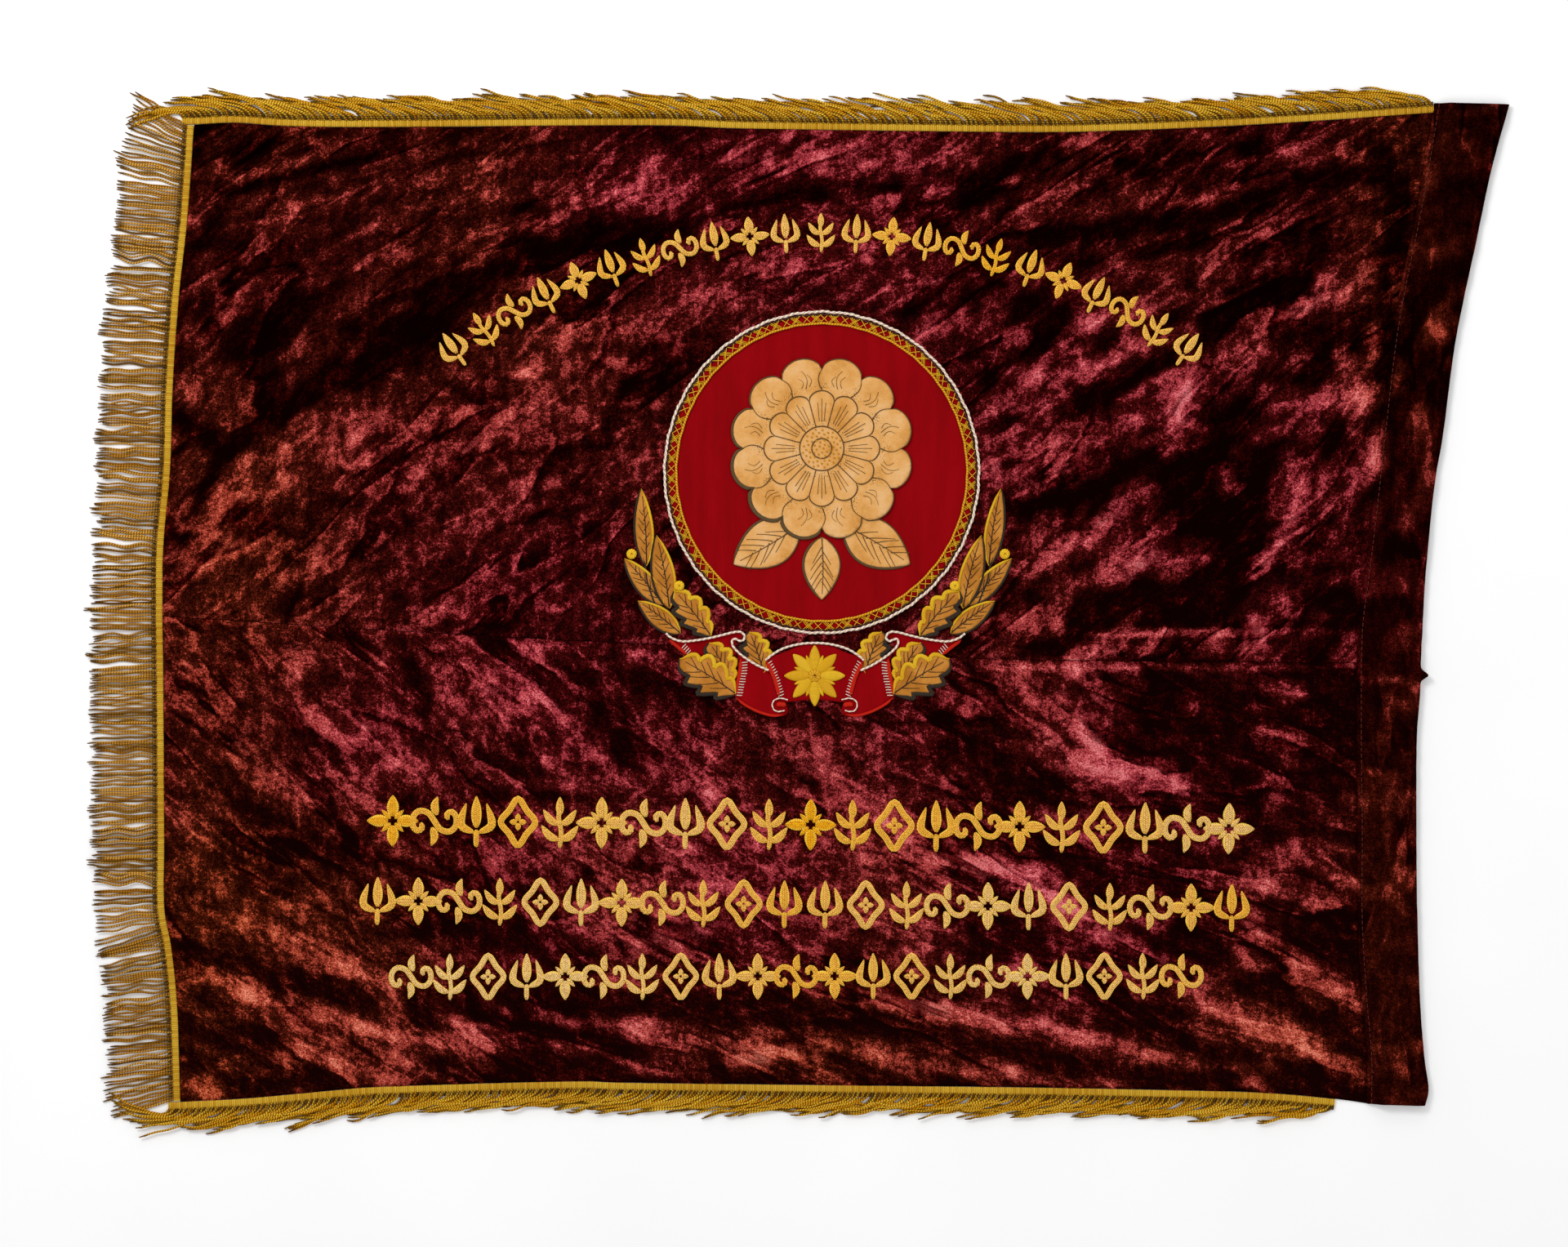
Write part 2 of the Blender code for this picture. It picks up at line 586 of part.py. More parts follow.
def pole_shift(y):
    """How much nearer the middle line the pole side's pieces lie than the fly side's, at a height y."""
    for (low, nearer), (high, then) in zip(POLE_SHIFT, POLE_SHIFT[1:]):
        if y <= high:
            share = min(max((y - low) / (high - low), 0.0), 1.0)
            return nearer + (then - nearer) * share
    return POLE_SHIFT[-1][1]


def on_side(outline, side):
    """An outline given outwards from the middle line, put on the fly side (-1) or the pole side (1)."""
    if side < 0:
        return [(EMBLEM_X - out, y) for out, y in outline]
    return [(EMBLEM_X + out - pole_shift(y), y) for out, y in outline]


def make_sprays():
    """The laurel and oak leaves and the berries, on both sides of the emblem."""
    for side, word in ((-1, "fly"), (1, "pole")):
        leaves = [(leaf, laurel_outline(leaf)) for leaf in LAURELS] + [(leaf, oak_outline(leaf)) for leaf in OAKS]
        for leaf, outline in leaves:
            applied(f"{leaf.name}_{word}", on_side(outline, side), leaf.layer, FELT_THICK, GOLD_FELT)
        for berry in BERRIES:
            ring = oval(BERRY_RADIUS, BERRY_RADIUS, BERRY_SIDES, (berry.out, berry.y))
            applied(f"{berry.name}_{word}", on_side(ring, side), berry.layer, 2 * FELT_THICK, GOLD_YARN)


def make_ribbon():
    """The ribbon under the medallion, in five pieces, and the gold rosette on its middle."""
    for side, word in ((-1, "fly"), (1, "pole")):
        applied(f"ribbon_tail_{word}", on_side(RIBBON_TAIL, side), 0, FELT_THICK, RED_SATIN)
        applied(f"ribbon_side_{word}", on_side(RIBBON_SIDE, side), 1, FELT_THICK, RED_SATIN)
    half = [(out * RIBBON_SQUEEZE, y) for out, y in RIBBON_MIDDLE_HALF]
    whole = [(RIBBON_X + out, y) for out, y in half] + [(RIBBON_X - out, y) for out, y in half[-2:0:-1]]
    applied("ribbon_middle", whole, 2, FELT_THICK, RED_SATIN)
    rosette = petals_outline((RIBBON_X, ROSETTE_Y), ROSETTE_RADIUS, ROSETTE_PETALS, ROSETTE_NOTCH)
    applied("rosette", rosette, 3, ROSETTE_THICK, GOLD_YARN)


def centre_on_surface():
    """Hangs every piece on one empty that puts the origin under the middle of the banner."""
    pieces = [piece for piece in bpy.data.objects if piece.type in {"MESH", "CURVE"}]
    spots = [vertex.co for piece in pieces if piece.type == "MESH" for vertex in piece.data.vertices]
    banner = bpy.data.objects.new("banner", None)
    banner.location.x = -(min(p.x for p in spots) + max(p.x for p in spots)) / 2
    banner.location.y = -(min(p.y for p in spots) + max(p.y for p in spots)) / 2
    bpy.context.scene.collection.objects.link(banner)
    for piece in pieces:
        piece.parent = banner
    print(f"banner at {banner.location.x:.5f} {banner.location.y:.5f}")


def main():
    """Builds the banner."""
    clear_scene()
    borders = make_velvet()
    make_sleeve(borders["seam"])
    make_fringes(borders)
    make_medallion()
    make_sprays()
    make_ribbon()
    centre_on_surface()


main()
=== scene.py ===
"""Velvet parade banner laid out face up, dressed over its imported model.

The field is crushed velvet in two widths, with a pole sleeve of the same cloth. Corded fringe on a woven
heading edges three sides. The emblem is applied felt and sateen with satin-stitched edges and couched cords,
and rows of gold ornament are embroidered over and under it.

Sizes are metres. The tables keep the cloth's own plan frame, and Bench moves each piece into the row frame.
"""

import logging
import math
from collections.abc import Callable, Iterable, Sequence
from dataclasses import dataclass, field
from enum import Enum
from functools import cached_property

import bpy
import numpy as np
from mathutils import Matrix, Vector
from mathutils.geometry import delaunay_2d_cdt

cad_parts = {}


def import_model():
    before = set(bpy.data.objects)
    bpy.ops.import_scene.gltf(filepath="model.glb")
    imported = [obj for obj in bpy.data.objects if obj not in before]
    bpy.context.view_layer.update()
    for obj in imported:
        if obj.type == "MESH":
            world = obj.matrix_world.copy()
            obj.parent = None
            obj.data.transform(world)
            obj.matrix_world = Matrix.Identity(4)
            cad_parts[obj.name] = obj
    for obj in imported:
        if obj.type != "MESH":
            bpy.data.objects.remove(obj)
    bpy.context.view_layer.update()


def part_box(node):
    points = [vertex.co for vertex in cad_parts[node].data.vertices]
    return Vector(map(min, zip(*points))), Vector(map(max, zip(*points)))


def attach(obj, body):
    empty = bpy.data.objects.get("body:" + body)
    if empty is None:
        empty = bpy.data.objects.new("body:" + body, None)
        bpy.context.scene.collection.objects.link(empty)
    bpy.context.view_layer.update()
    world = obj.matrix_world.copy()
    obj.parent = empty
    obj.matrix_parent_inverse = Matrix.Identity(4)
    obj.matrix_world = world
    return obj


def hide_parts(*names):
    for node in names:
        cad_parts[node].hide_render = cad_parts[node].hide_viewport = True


LOG = logging.getLogger("banner")
MM = 0.001
SEED = 20
BODY = "root"
Array = np.ndarray
Placing = Callable[[Sequence], Array]
Relief = Callable[[Array, Array], Array]
Socket = bpy.types.NodeSocket
Dressing = tuple[Socket, Socket, float]

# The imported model's own measures, which the dressed pieces keep.
SEWN_GAP = 0.0003
VELVET_THICK = 0.0022
FELT_THICK = 0.0010
LAYER_STEP = FELT_THICK + SEWN_GAP
HEADING_WIDTH = 0.0135
HEADING_THICK = 0.0026
EMBLEM_X = 0.029
MEDALLION_Y = 0.156
BOTTOM_FRINGE_START = 35 / 36
GOLDEN_ANGLE = 2.39996  # In radians; knots turned by it fill a round evenly.


# Small geometry


def ease(value: Array | float) -> Array:
    """Smooth step from 0 to 1, held at both ends."""
    held = np.clip(value, 0.0, 1.0)
    return held * held * (3 - 2 * held)


def past(value: Array, start: float, span: float) -> Array:
    """0 before a start, then a smooth rise to 1 over a span. A negative span rises the other way."""
    return ease((value - start) / span)


def unit(vectors: Array) -> Array:
    """Each row scaled to length 1."""
    return vectors / np.maximum(np.linalg.norm(vectors, axis=-1, keepdims=True), 1e-12)


def wobble(index: float, seed: float) -> float:
    """A repeatable uneven number from -1 to 1."""
    return math.sin(index * 12.9898 + seed * 78.233) * math.cos(index * 4.1414 + seed * 3.77)


def smooth_points(points: Sequence, steps: int = 12, closed: bool = False) -> Array:
    """A smooth line through points.

    Args:
        points: The points to pass through, flat or not.
        steps: Straight steps between two points.
        closed: Whether the last point runs on to the first.

    Returns:
        The fine points, one row each.
    """
    spots = np.asarray(points, float)
    if closed:
        ends = np.vstack([spots[-1], spots, spots[0], spots[1]])
    else:
        ends = np.vstack([2 * spots[0] - spots[1], spots, 2 * spots[-1] - spots[-2]])
    fine = []
    for before, start, end, after in zip(ends, ends[1:], ends[2:], ends[3:]):
        for share in np.arange(steps) / steps:
            fine.append(
                0.5 * (
                    2 * start + (end - before) * share
                    + (2 * before - 5 * start + 4 * end - after) * share**2
                    + (3 * start - 3 * end + after - before) * share**3
                )
            )
    if not closed:
        fine.append(spots[-1])
    return np.array(fine)


def in_mm(*numbers: int) -> Array:
    """Flat points from their x and y in turn, in millimetres."""
    return np.reshape(numbers, (-1, 2)) / 1000


def in_tenths(*numbers: int) -> Array:
    """Flat points from their x and y in turn, in tenths of a millimetre."""
    return np.reshape(numbers, (-1, 2)) / 10000


class Line:
    """A line of straight steps, walked by a share of its length from 0 to 1."""

    def __init__(self, points: Array) -> None:
        """Keeps the points and how far along each one lies."""
        self.fine = np.asarray(points, float)
        steps = np.linalg.norm(np.diff(self.fine, axis=0), axis=1)
        self.walked = np.concatenate([[0.0], np.cumsum(steps)])
        self.length = float(self.walked[-1])

    def at(self, shares: Array | float) -> Array:
        """The points at shares of the whole length."""
        wanted = np.clip(shares, 0.0, 1.0) * self.length
        columns = [np.interp(wanted, self.walked, column) for column in self.fine.T]
        return np.stack(columns, axis=-1)

    def x_at(self, y: Array) -> Array:
        """The x where an upright line has that y."""
        return np.interp(y, self.fine[:, 1], self.fine[:, 0])

    def y_at(self, x: Array) -> Array:
        """The y where a level line has that x."""
        return np.interp(x, self.fine[:, 0], self.fine[:, 1])

    def outward(self, shares: Array | float, reach: float = 0.004) -> Array:
        """The flat unit normals on the left of the way that the line runs."""
        ahead, behind = (self.at(np.asarray(shares) + way)[..., :2] for way in (reach, -reach))
        along = unit(ahead - behind)
        return np.stack([-along[..., 1], along[..., 0]], axis=-1)


def distance_to(points: Array, line: Array) -> Array:
    """How far each flat point lies from a line of straight steps.

    Args:
        points: Flat points, one row each.
        line: The line's points in order.

    Returns:
        One distance a point.
    """
    start, run = line[:-1], np.diff(line, axis=0)
    square = np.maximum((run**2).sum(1), 1e-14)
    nearest = np.full(len(points), np.inf)
    for begin, step, length in zip(start, run, square):
        share = np.clip(((points - begin) @ step) / length, 0, 1)
        gap = points - begin - share[:, None] * step
        nearest = np.minimum(nearest, (gap**2).sum(1))
    return np.sqrt(nearest)


def inside(points: Array, outline: Array) -> Array:
    """Whether each flat point lies inside a closed outline."""
    x, y = points[:, 0], points[:, 1]
    within = np.zeros(len(points), bool)
    for (x0, y0), (x1, y1) in zip(outline, np.roll(outline, -1, axis=0)):
        if y0 == y1:
            continue
        crosses = (y0 > y) != (y1 > y)
        within ^= crosses & (x < (x1 - x0) * (y - y0) / (y1 - y0) + x0)
    return within


def linear(code: str) -> tuple[float, float, float, float]:
    """An sRGB hex colour as linear red, green, blue and a full alpha."""
    parts = [int(code.lstrip("#")[at : at + 2], 16) / 255 for at in (0, 2, 4)]
    red, green, blue = (p / 12.92 if p <= 0.04045 else ((p + 0.055) / 1.055) ** 2.4 for p in parts)
    return (red, green, blue, 1.0)


# Mesh making


class Shape:
    """Collects the points and faces of one piece, with thread coordinates and two tones."""

    def __init__(self, name: str) -> None:
        """Starts an empty piece of that name."""
        self.name = name
        self.points: list[Array] = []
        self.faces: list[list[int]] = []
        self.threads: list[Array] = []
        self.tones: list[Array] = []
        self.shades: list[Array] = []
        self.count = 0

    def add(
        self, points: Array, faces: list, threads: Array, tone: Array | float, shade: Array | float,
    ) -> None:
        """Adds one part.

        Args:
            points: Its points, one row each.
            faces: Its faces, as indices into those points.
            threads: One pair for each corner of each face, in the faces' order.
            tone: The dye lot's tone, for all points or one each.
            shade: How strongly the finish's second effect shows, likewise.
        """
        self.points.append(np.asarray(points, float))
        self.faces += [[index + self.count for index in face] for face in faces]
        self.threads.append(np.asarray(threads, float).reshape(-1, 2))
        self.tones.append(np.broadcast_to(tone, len(points)))
        self.shades.append(np.broadcast_to(shade, len(points)))
        self.count += len(points)

    def tube(
        self, flat: Array, height: Array | float, ring: Array, tone: Array | float = 0.5,
        shade: Array | float = 0.0, closed: bool = False, by_width: bool = False,
    ) -> None:
        """Adds a thread, cord or padded band along a path.

        Args:
            flat: The plan points that it follows.
            height: How high they lie, for all or one each.
            ring: Its section as (aside, up), one for all or one a point, anticlockwise seen from its end.
            tone: The dye lot's tone, for all, for each point or for each point of each section.
            shade: The finish's second effect, likewise.
            closed: Whether its end runs on into its start.
            by_width: Whether the thread coordinate across is the metres aside, and not the share of the turn.
        """
        path = np.column_stack([flat, np.broadcast_to(height, len(flat))])
        count, sides = len(path), ring.shape[-2]
        rings = np.broadcast_to(ring, (count, sides, 2))
        along = np.roll(path, -1, 0) - np.roll(path, 1, 0)
        if not closed:
            along[0], along[-1] = path[1] - path[0], path[-1] - path[-2]
        along = unit(along)
        aside = unit(np.cross([0.0, 0.0, 1.0], along))
        up = np.cross(along, aside)
        points = path[:, None] + aside[:, None] * rings[..., :1] + up[:, None] * rings[..., 1:]
        steps = np.linalg.norm(np.diff(path, axis=0), axis=1)
        walked = np.concatenate([[0.0], np.cumsum(steps)])
        rows = np.arange(count if closed else count - 1)
        after = (rows + 1) % count
        columns = np.arange(sides)
        nxt = (columns + 1) % sides
        first, last = rows[:, None] * sides, after[:, None] * sides
        faces = np.stack([first + columns, first + nxt, last + nxt, last + columns], -1).reshape(-1, 4)
        end_walk = walked[after] if not closed else np.append(walked[1:], walked[-1] + steps[-1])
        across, across_next = (rings[..., 0], rings[:, nxt, 0]) if by_width else (
            np.broadcast_to(columns / sides, (count, sides)),
            np.broadcast_to((columns + 1) / sides, (count, sides)),
        )
        corner = np.empty((len(rows), sides, 4, 2))
        corner[..., 0, 0], corner[..., 1, 0] = across[rows], across_next[rows]
        corner[..., 2, 0], corner[..., 3, 0] = across_next[after], across[after]
        corner[..., :2, 1] = walked[rows][:, None, None]
        corner[..., 2:, 1] = end_walk[:, None, None]
        threads, shapes = [corner.reshape(-1, 2)], faces.tolist()
        if not closed:
            shapes += [list(range(sides))[::-1], list(range((count - 1) * sides, count * sides))]
            threads += [np.tile([0.0, 0.0], (sides, 1)), np.tile([0.0, walked[-1]], (sides, 1))]
        spread = [
            np.repeat(value, sides) if np.ndim(value) == 1 else np.ravel(value) for value in (tone, shade)
        ]
        self.add(points.reshape(-1, 3), shapes, np.vstack(threads), *spread)

    def panel(self, top: Array, bottom: Array, threads: Array, tone: Array, shade: Array) -> None:
        """Adds a closed cloth panel from two grids of points.

        Args:
            top: The face's points, rows by columns by three.
            bottom: The back's points, likewise.
            threads: The thread coordinates of each grid point.
            tone: The tone of each grid point.
            shade: The second effect at each grid point.
        """
        rows, columns = top.shape[:2]
        index = np.arange(rows * columns).reshape(rows, columns)
        face = np.stack([index[:-1, :-1], index[:-1, 1:], index[1:, 1:], index[1:, :-1]], -1).reshape(-1, 4)
        back = face[:, ::-1] + rows * columns
        rim = np.concatenate([index[0, :], index[1:, -1], index[-1, -2::-1], index[-2:0:-1, 0]])
        ahead = np.roll(rim, -1)
        sides = np.stack([rim, rim + rows * columns, ahead + rows * columns, ahead], -1)
        faces = np.vstack([face, back, sides])
        points = np.vstack([top.reshape(-1, 3), bottom.reshape(-1, 3)])
        flat = np.vstack([threads.reshape(-1, 2)] * 2)
        levels = [np.tile(level.ravel(), 2) for level in (tone, shade)]
        self.add(points, faces.tolist(), flat[faces.ravel()], *levels)

    def cut(
        self, outline: Array, low: float, thick: float, pitch: float, relief: Relief,
        tone: float = 0.5, shade: Relief | None = None,
    ) -> None:
        """Adds a cut cloth piece with a rolled rim and an uneven face.

        Args:
            outline: Its closed outline, anticlockwise or not.
            low: The height of its underside.
            thick: Its thickness.
            pitch: How far apart the points inside lie.
            relief: The height to add, from the flat points and their distances to the rim.
            tone: The dye lot's tone.
            shade: The second effect, from the same two.
        """
        low_corner, high_corner = outline.min(0), outline.max(0)
        rise = pitch * math.sqrt(0.75)
        ys = np.arange(low_corner[1], high_corner[1], rise)
        starts = [low_corner[0] + (row % 2) * pitch / 2 for row in range(len(ys))]
        xs = [np.arange(start, high_corner[0], pitch) for start in starts]
        spots = np.vstack([np.column_stack([row, np.full(len(row), y)]) for row, y in zip(xs, ys)])
        spots = spots[inside(spots, outline)]
        ring = np.vstack([outline, outline[:1]])
        spots = spots[distance_to(spots, ring) > 0.55 * pitch]
        flat = [Vector(spot) for spot in np.vstack([outline, spots])]
        found = delaunay_2d_cdt(flat, [], [list(range(len(outline)))], 1, 1e-7)
        plan, triangles = np.array([tuple(spot) for spot in found[0]]), np.array([list(f) for f in found[2]])
        a, b, c = plan[triangles[:, 0]], plan[triangles[:, 1]], plan[triangles[:, 2]]
        turned = (b[:, 0] - a[:, 0]) * (c[:, 1] - a[:, 1]) - (b[:, 1] - a[:, 1]) * (c[:, 0] - a[:, 0]) < 0
        triangles[turned] = triangles[turned][:, ::-1]
        away = distance_to(plan, ring)
        crown = thick * (0.55 + 0.45 * ease(away / (1.6 * thick)))
        top = np.column_stack([plan, low + crown + relief(plan, away) * ease(away / (2 * pitch))])
        bottom = np.column_stack([plan, np.full(len(plan), low)])
        edges = {(int(t[k]), int(t[(k + 1) % 3])) for t in triangles for k in range(3)}
        rim = [(start, end) for start, end in edges if (end, start) not in edges]
        count = len(plan)
        faces = triangles.tolist() + (triangles[:, ::-1] + count).tolist()
        faces += [[end, start, start + count, end + count] for start, end in sorted(rim)]
        corners = np.concatenate([np.array(face) % count for face in faces])
        level = np.zeros(count) if shade is None else shade(plan, away)
        self.add(np.vstack([top, bottom]), faces, plan[corners], tone, np.tile(level, 2))


def around(centre: Sequence[float], reach: Array | float, turn: Array) -> Array:
    """Points round a centre, at a reach and turned by radians from +X."""
    return np.asarray(centre) + np.stack([reach * np.cos(turn), reach * np.sin(turn)], -1)


def clockwise(centre: Sequence[float], reach: Array | float, turn: Array | float) -> Array:
    """Points round a centre, at a reach and turned by radians clockwise from +Y."""
    return np.asarray(centre) + np.stack([reach * np.sin(turn), reach * np.cos(turn)], -1)


def full_turn(count: int) -> Array:
    """So many even steps of one turn, in radians, without its end."""
    return 2 * np.pi * np.arange(count) / count


def round_ring(radius: Array | float, sides: int = 6) -> Array:
    """A round section, or one for each radius."""
    return np.multiply.outer(radius, around((0.0, 0.0), 1.0, full_turn(sides)))


def plied_rings(radius: float, turns: Array, sides: int = 8, plies: int = 2, depth: float = 0.2) -> Array:
    """The sections of a twisted cord, one for each turn angle in radians."""
    turn = full_turn(sides)
    swell = radius * (1 - depth / 2 + depth / 2 * np.cos(plies * (turn[None] - np.asarray(turns)[:, None])))
    return around((0.0, 0.0), swell, turn)


def dome_rings(half_widths: Array, height: float | Array) -> Array:
    """The sections of a padded stitched band that is flat underneath, one for each half width."""
    share = np.array([
        (1.0, 0.0), (0.86, 0.62), (0.45, 0.93), (0.0, 1.0), (-0.45, 0.93), (-0.86, 0.62), (-1.0, 0.0),
    ])
    wide, tall = np.atleast_1d(half_widths)[:, None], np.atleast_1d(height)[:, None]
    return np.stack([share[:, 0] * wide, share[:, 1] * tall * np.ones_like(wide)], -1)


@dataclass
class Bench:
    """Where collected shapes become pieces that ride on the banner's body.

    Attributes:
        shift: How far the row frame lies from the cloth's plan frame.
    """

    shift: Array = field(default_factory=lambda: np.zeros(2))

    def measure(self) -> None:
        """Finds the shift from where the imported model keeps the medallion."""
        low, high = (np.array(corner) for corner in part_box("medallion_ground"))
        self.shift = ((low + high) / 2)[:2] - np.array([EMBLEM_X, MEDALLION_Y])

    def lay(
        self, shape: Shape, finish: "Finish", slot: str, stands_for: Sequence[str] = (),
    ) -> bpy.types.Object:
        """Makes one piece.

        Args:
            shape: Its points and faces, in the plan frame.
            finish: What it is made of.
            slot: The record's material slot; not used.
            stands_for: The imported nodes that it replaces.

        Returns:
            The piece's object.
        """
        points = np.vstack(shape.points)
        points[:, :2] += self.shift
        mesh = bpy.data.meshes.new(shape.name)
        mesh.from_pydata(points.tolist(), [], shape.faces)
        layer = mesh.uv_layers.new(name="thread")
        layer.data.foreach_set("uv", np.vstack(shape.threads).astype(np.float32).ravel())
        for name, values in (("tone", shape.tones), ("shade", shape.shades)):
            kept = mesh.attributes.new(name, "FLOAT", "POINT")
            kept.data.foreach_set("value", np.concatenate(values).astype(np.float32))
        mesh.materials.append(finish.material)
        mesh.shade_smooth()
        piece = bpy.data.objects.new(shape.name, mesh)
        bpy.context.scene.collection.objects.link(piece)
        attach(piece, BODY)
        if stands_for:
            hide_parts(*stands_for)
        LOG.info("%s: %d points, %d faces", shape.name, len(points), len(shape.faces))
        return piece


BENCH = Bench()


# Finishes


def add_node(
    tree: bpy.types.NodeTree, kind: str, sockets: dict | None = None, stops: Iterable[tuple[float, str]] = (),
    **settings: object,
) -> bpy.types.Node:
    """Adds a shader node with its settings and links.

    Args:
        tree: The material's node tree.
        kind: The node's type, without its ShaderNode prefix.
        sockets: Values, or outputs to link, by the input's name or index.
        stops: A colour ramp's places with their hex colours.
        settings: The node's own properties.

    Returns:
        The new node.
    """
    node = tree.nodes.new("ShaderNode" + kind)
    for name, value in settings.items():
        setattr(node, name, value)
    for socket, value in (sockets or {}).items():
        if isinstance(value, bpy.types.NodeSocket):
            tree.links.new(value, node.inputs[socket])
        else:
            node.inputs[socket].default_value = value
    for number, (place, code) in enumerate(stops):
        points = node.color_ramp.elements
        point = points[number] if number < len(points) else points.new(place)
        point.position = place
        point.color = linear(code)
    return node


@dataclass(frozen=True)
class Pattern:
    """A material's node tree, with the few kinds of node that the finishes are made of."""

    tree: bpy.types.NodeTree

    @property
    def place(self) -> Socket:
        """Where a point lies on the banner."""
        return add_node(self.tree, "TexCoord").outputs["Object"]

    @property
    def thread(self) -> Socket:
        """How far a point lies across a thread or band and along it, or along the pile and across it."""
        return add_node(self.tree, "UVMap", uv_map="thread").outputs[0]

    def kept(self, name: str) -> Socket:
        """What the mesh keeps for each point: its tone or its shade."""
        return add_node(self.tree, "Attribute", attribute_name=name).outputs["Fac"]

    def split(self, place: Socket) -> Iterable[Socket]:
        """The three numbers of a place."""
        return add_node(self.tree, "SeparateXYZ", {0: place}).outputs

    def scaled(self, place: Socket, by: Sequence[float]) -> Socket:
        """A place drawn out or in along each way."""
        return add_node(self.tree, "VectorMath", {0: place, 1: by}, operation="MULTIPLY").outputs[0]

    def maths(self, way: str, *values: Socket | float) -> Socket:
        """A sum of up to three values, worked out in the way that Blender names."""
        return add_node(self.tree, "Math", dict(enumerate(values)), operation=way).outputs[0]

    def noise(
        self, place: Socket, scale: float, detail: float = 2, rough: float = 0.5, torn: float = 0,
    ) -> Socket:
        """Cloudy noise over a place, with so many finer octaves, and torn by so much."""
        sockets = {"Vector": place, "Scale": scale, "Detail": detail, "Roughness": rough, "Distortion": torn}
        return add_node(self.tree, "TexNoise", sockets).outputs["Fac"]

    def ramp(self, level: Socket, *stops: tuple[float, str]) -> Socket:
        """A level turned into a colour by its stops."""
        return add_node(self.tree, "ValToRGB", {"Fac": level}, stops).outputs["Color"]

    def blend(
        self, share: Socket | float, first: Socket | str, second: Socket | str, way: str = "MIX",
    ) -> Socket:
        """Two colours, each an output or a hex code, blended by a share."""
        colours = [linear(colour) if isinstance(colour, str) else colour for colour in (first, second)]
        sockets = {0: share, 6: colours[0], 7: colours[1]}
        return add_node(self.tree, "Mix", sockets, data_type="RGBA", blend_type=way).outputs[2]


@dataclass(frozen=True)
class Finish:
    """What every finish of the banner has: a name, a gloss and a soft sheen."""

    name: str
    roughness: float = 0.7
    specular: float = 0.3
    sheen: float = 0.0
    sheen_tint: str = "#ffffff"
    sheen_roughness: float = 0.4
    ior: float = 1.5

    @cached_property
    def material(self) -> bpy.types.Material:
        """The material, made and dressed the first time that it is asked for."""
        made = bpy.data.materials.new(self.name)
        made.use_nodes = True
        tree = made.node_tree
        shader = tree.nodes["Principled BSDF"]
        for name, value in (
            ("Roughness", self.roughness), ("IOR", self.ior), ("Specular IOR Level", self.specular),
            ("Sheen Weight", self.sheen), ("Sheen Roughness", self.sheen_roughness),
            ("Sheen Tint", linear(self.sheen_tint)),
        ):
            shader.inputs[name].default_value = value
        colour, height, depth = self.dress(Pattern(tree))
        tree.links.new(colour, shader.inputs["Base Color"])
        bump = add_node(tree, "Bump", {"Height": height, "Distance": depth, "Strength": 1.0})
        tree.links.new(bump.outputs["Normal"], shader.inputs["Normal"])
        return made

    def dress(self, nodes: Pattern) -> Dressing:
        """Builds the pattern.

        Args:
            nodes: The material's nodes.

        Returns:
            The colour, the bump's height from 0 to 1, and how many metres that height stands for.
        """
        raise NotImplementedError


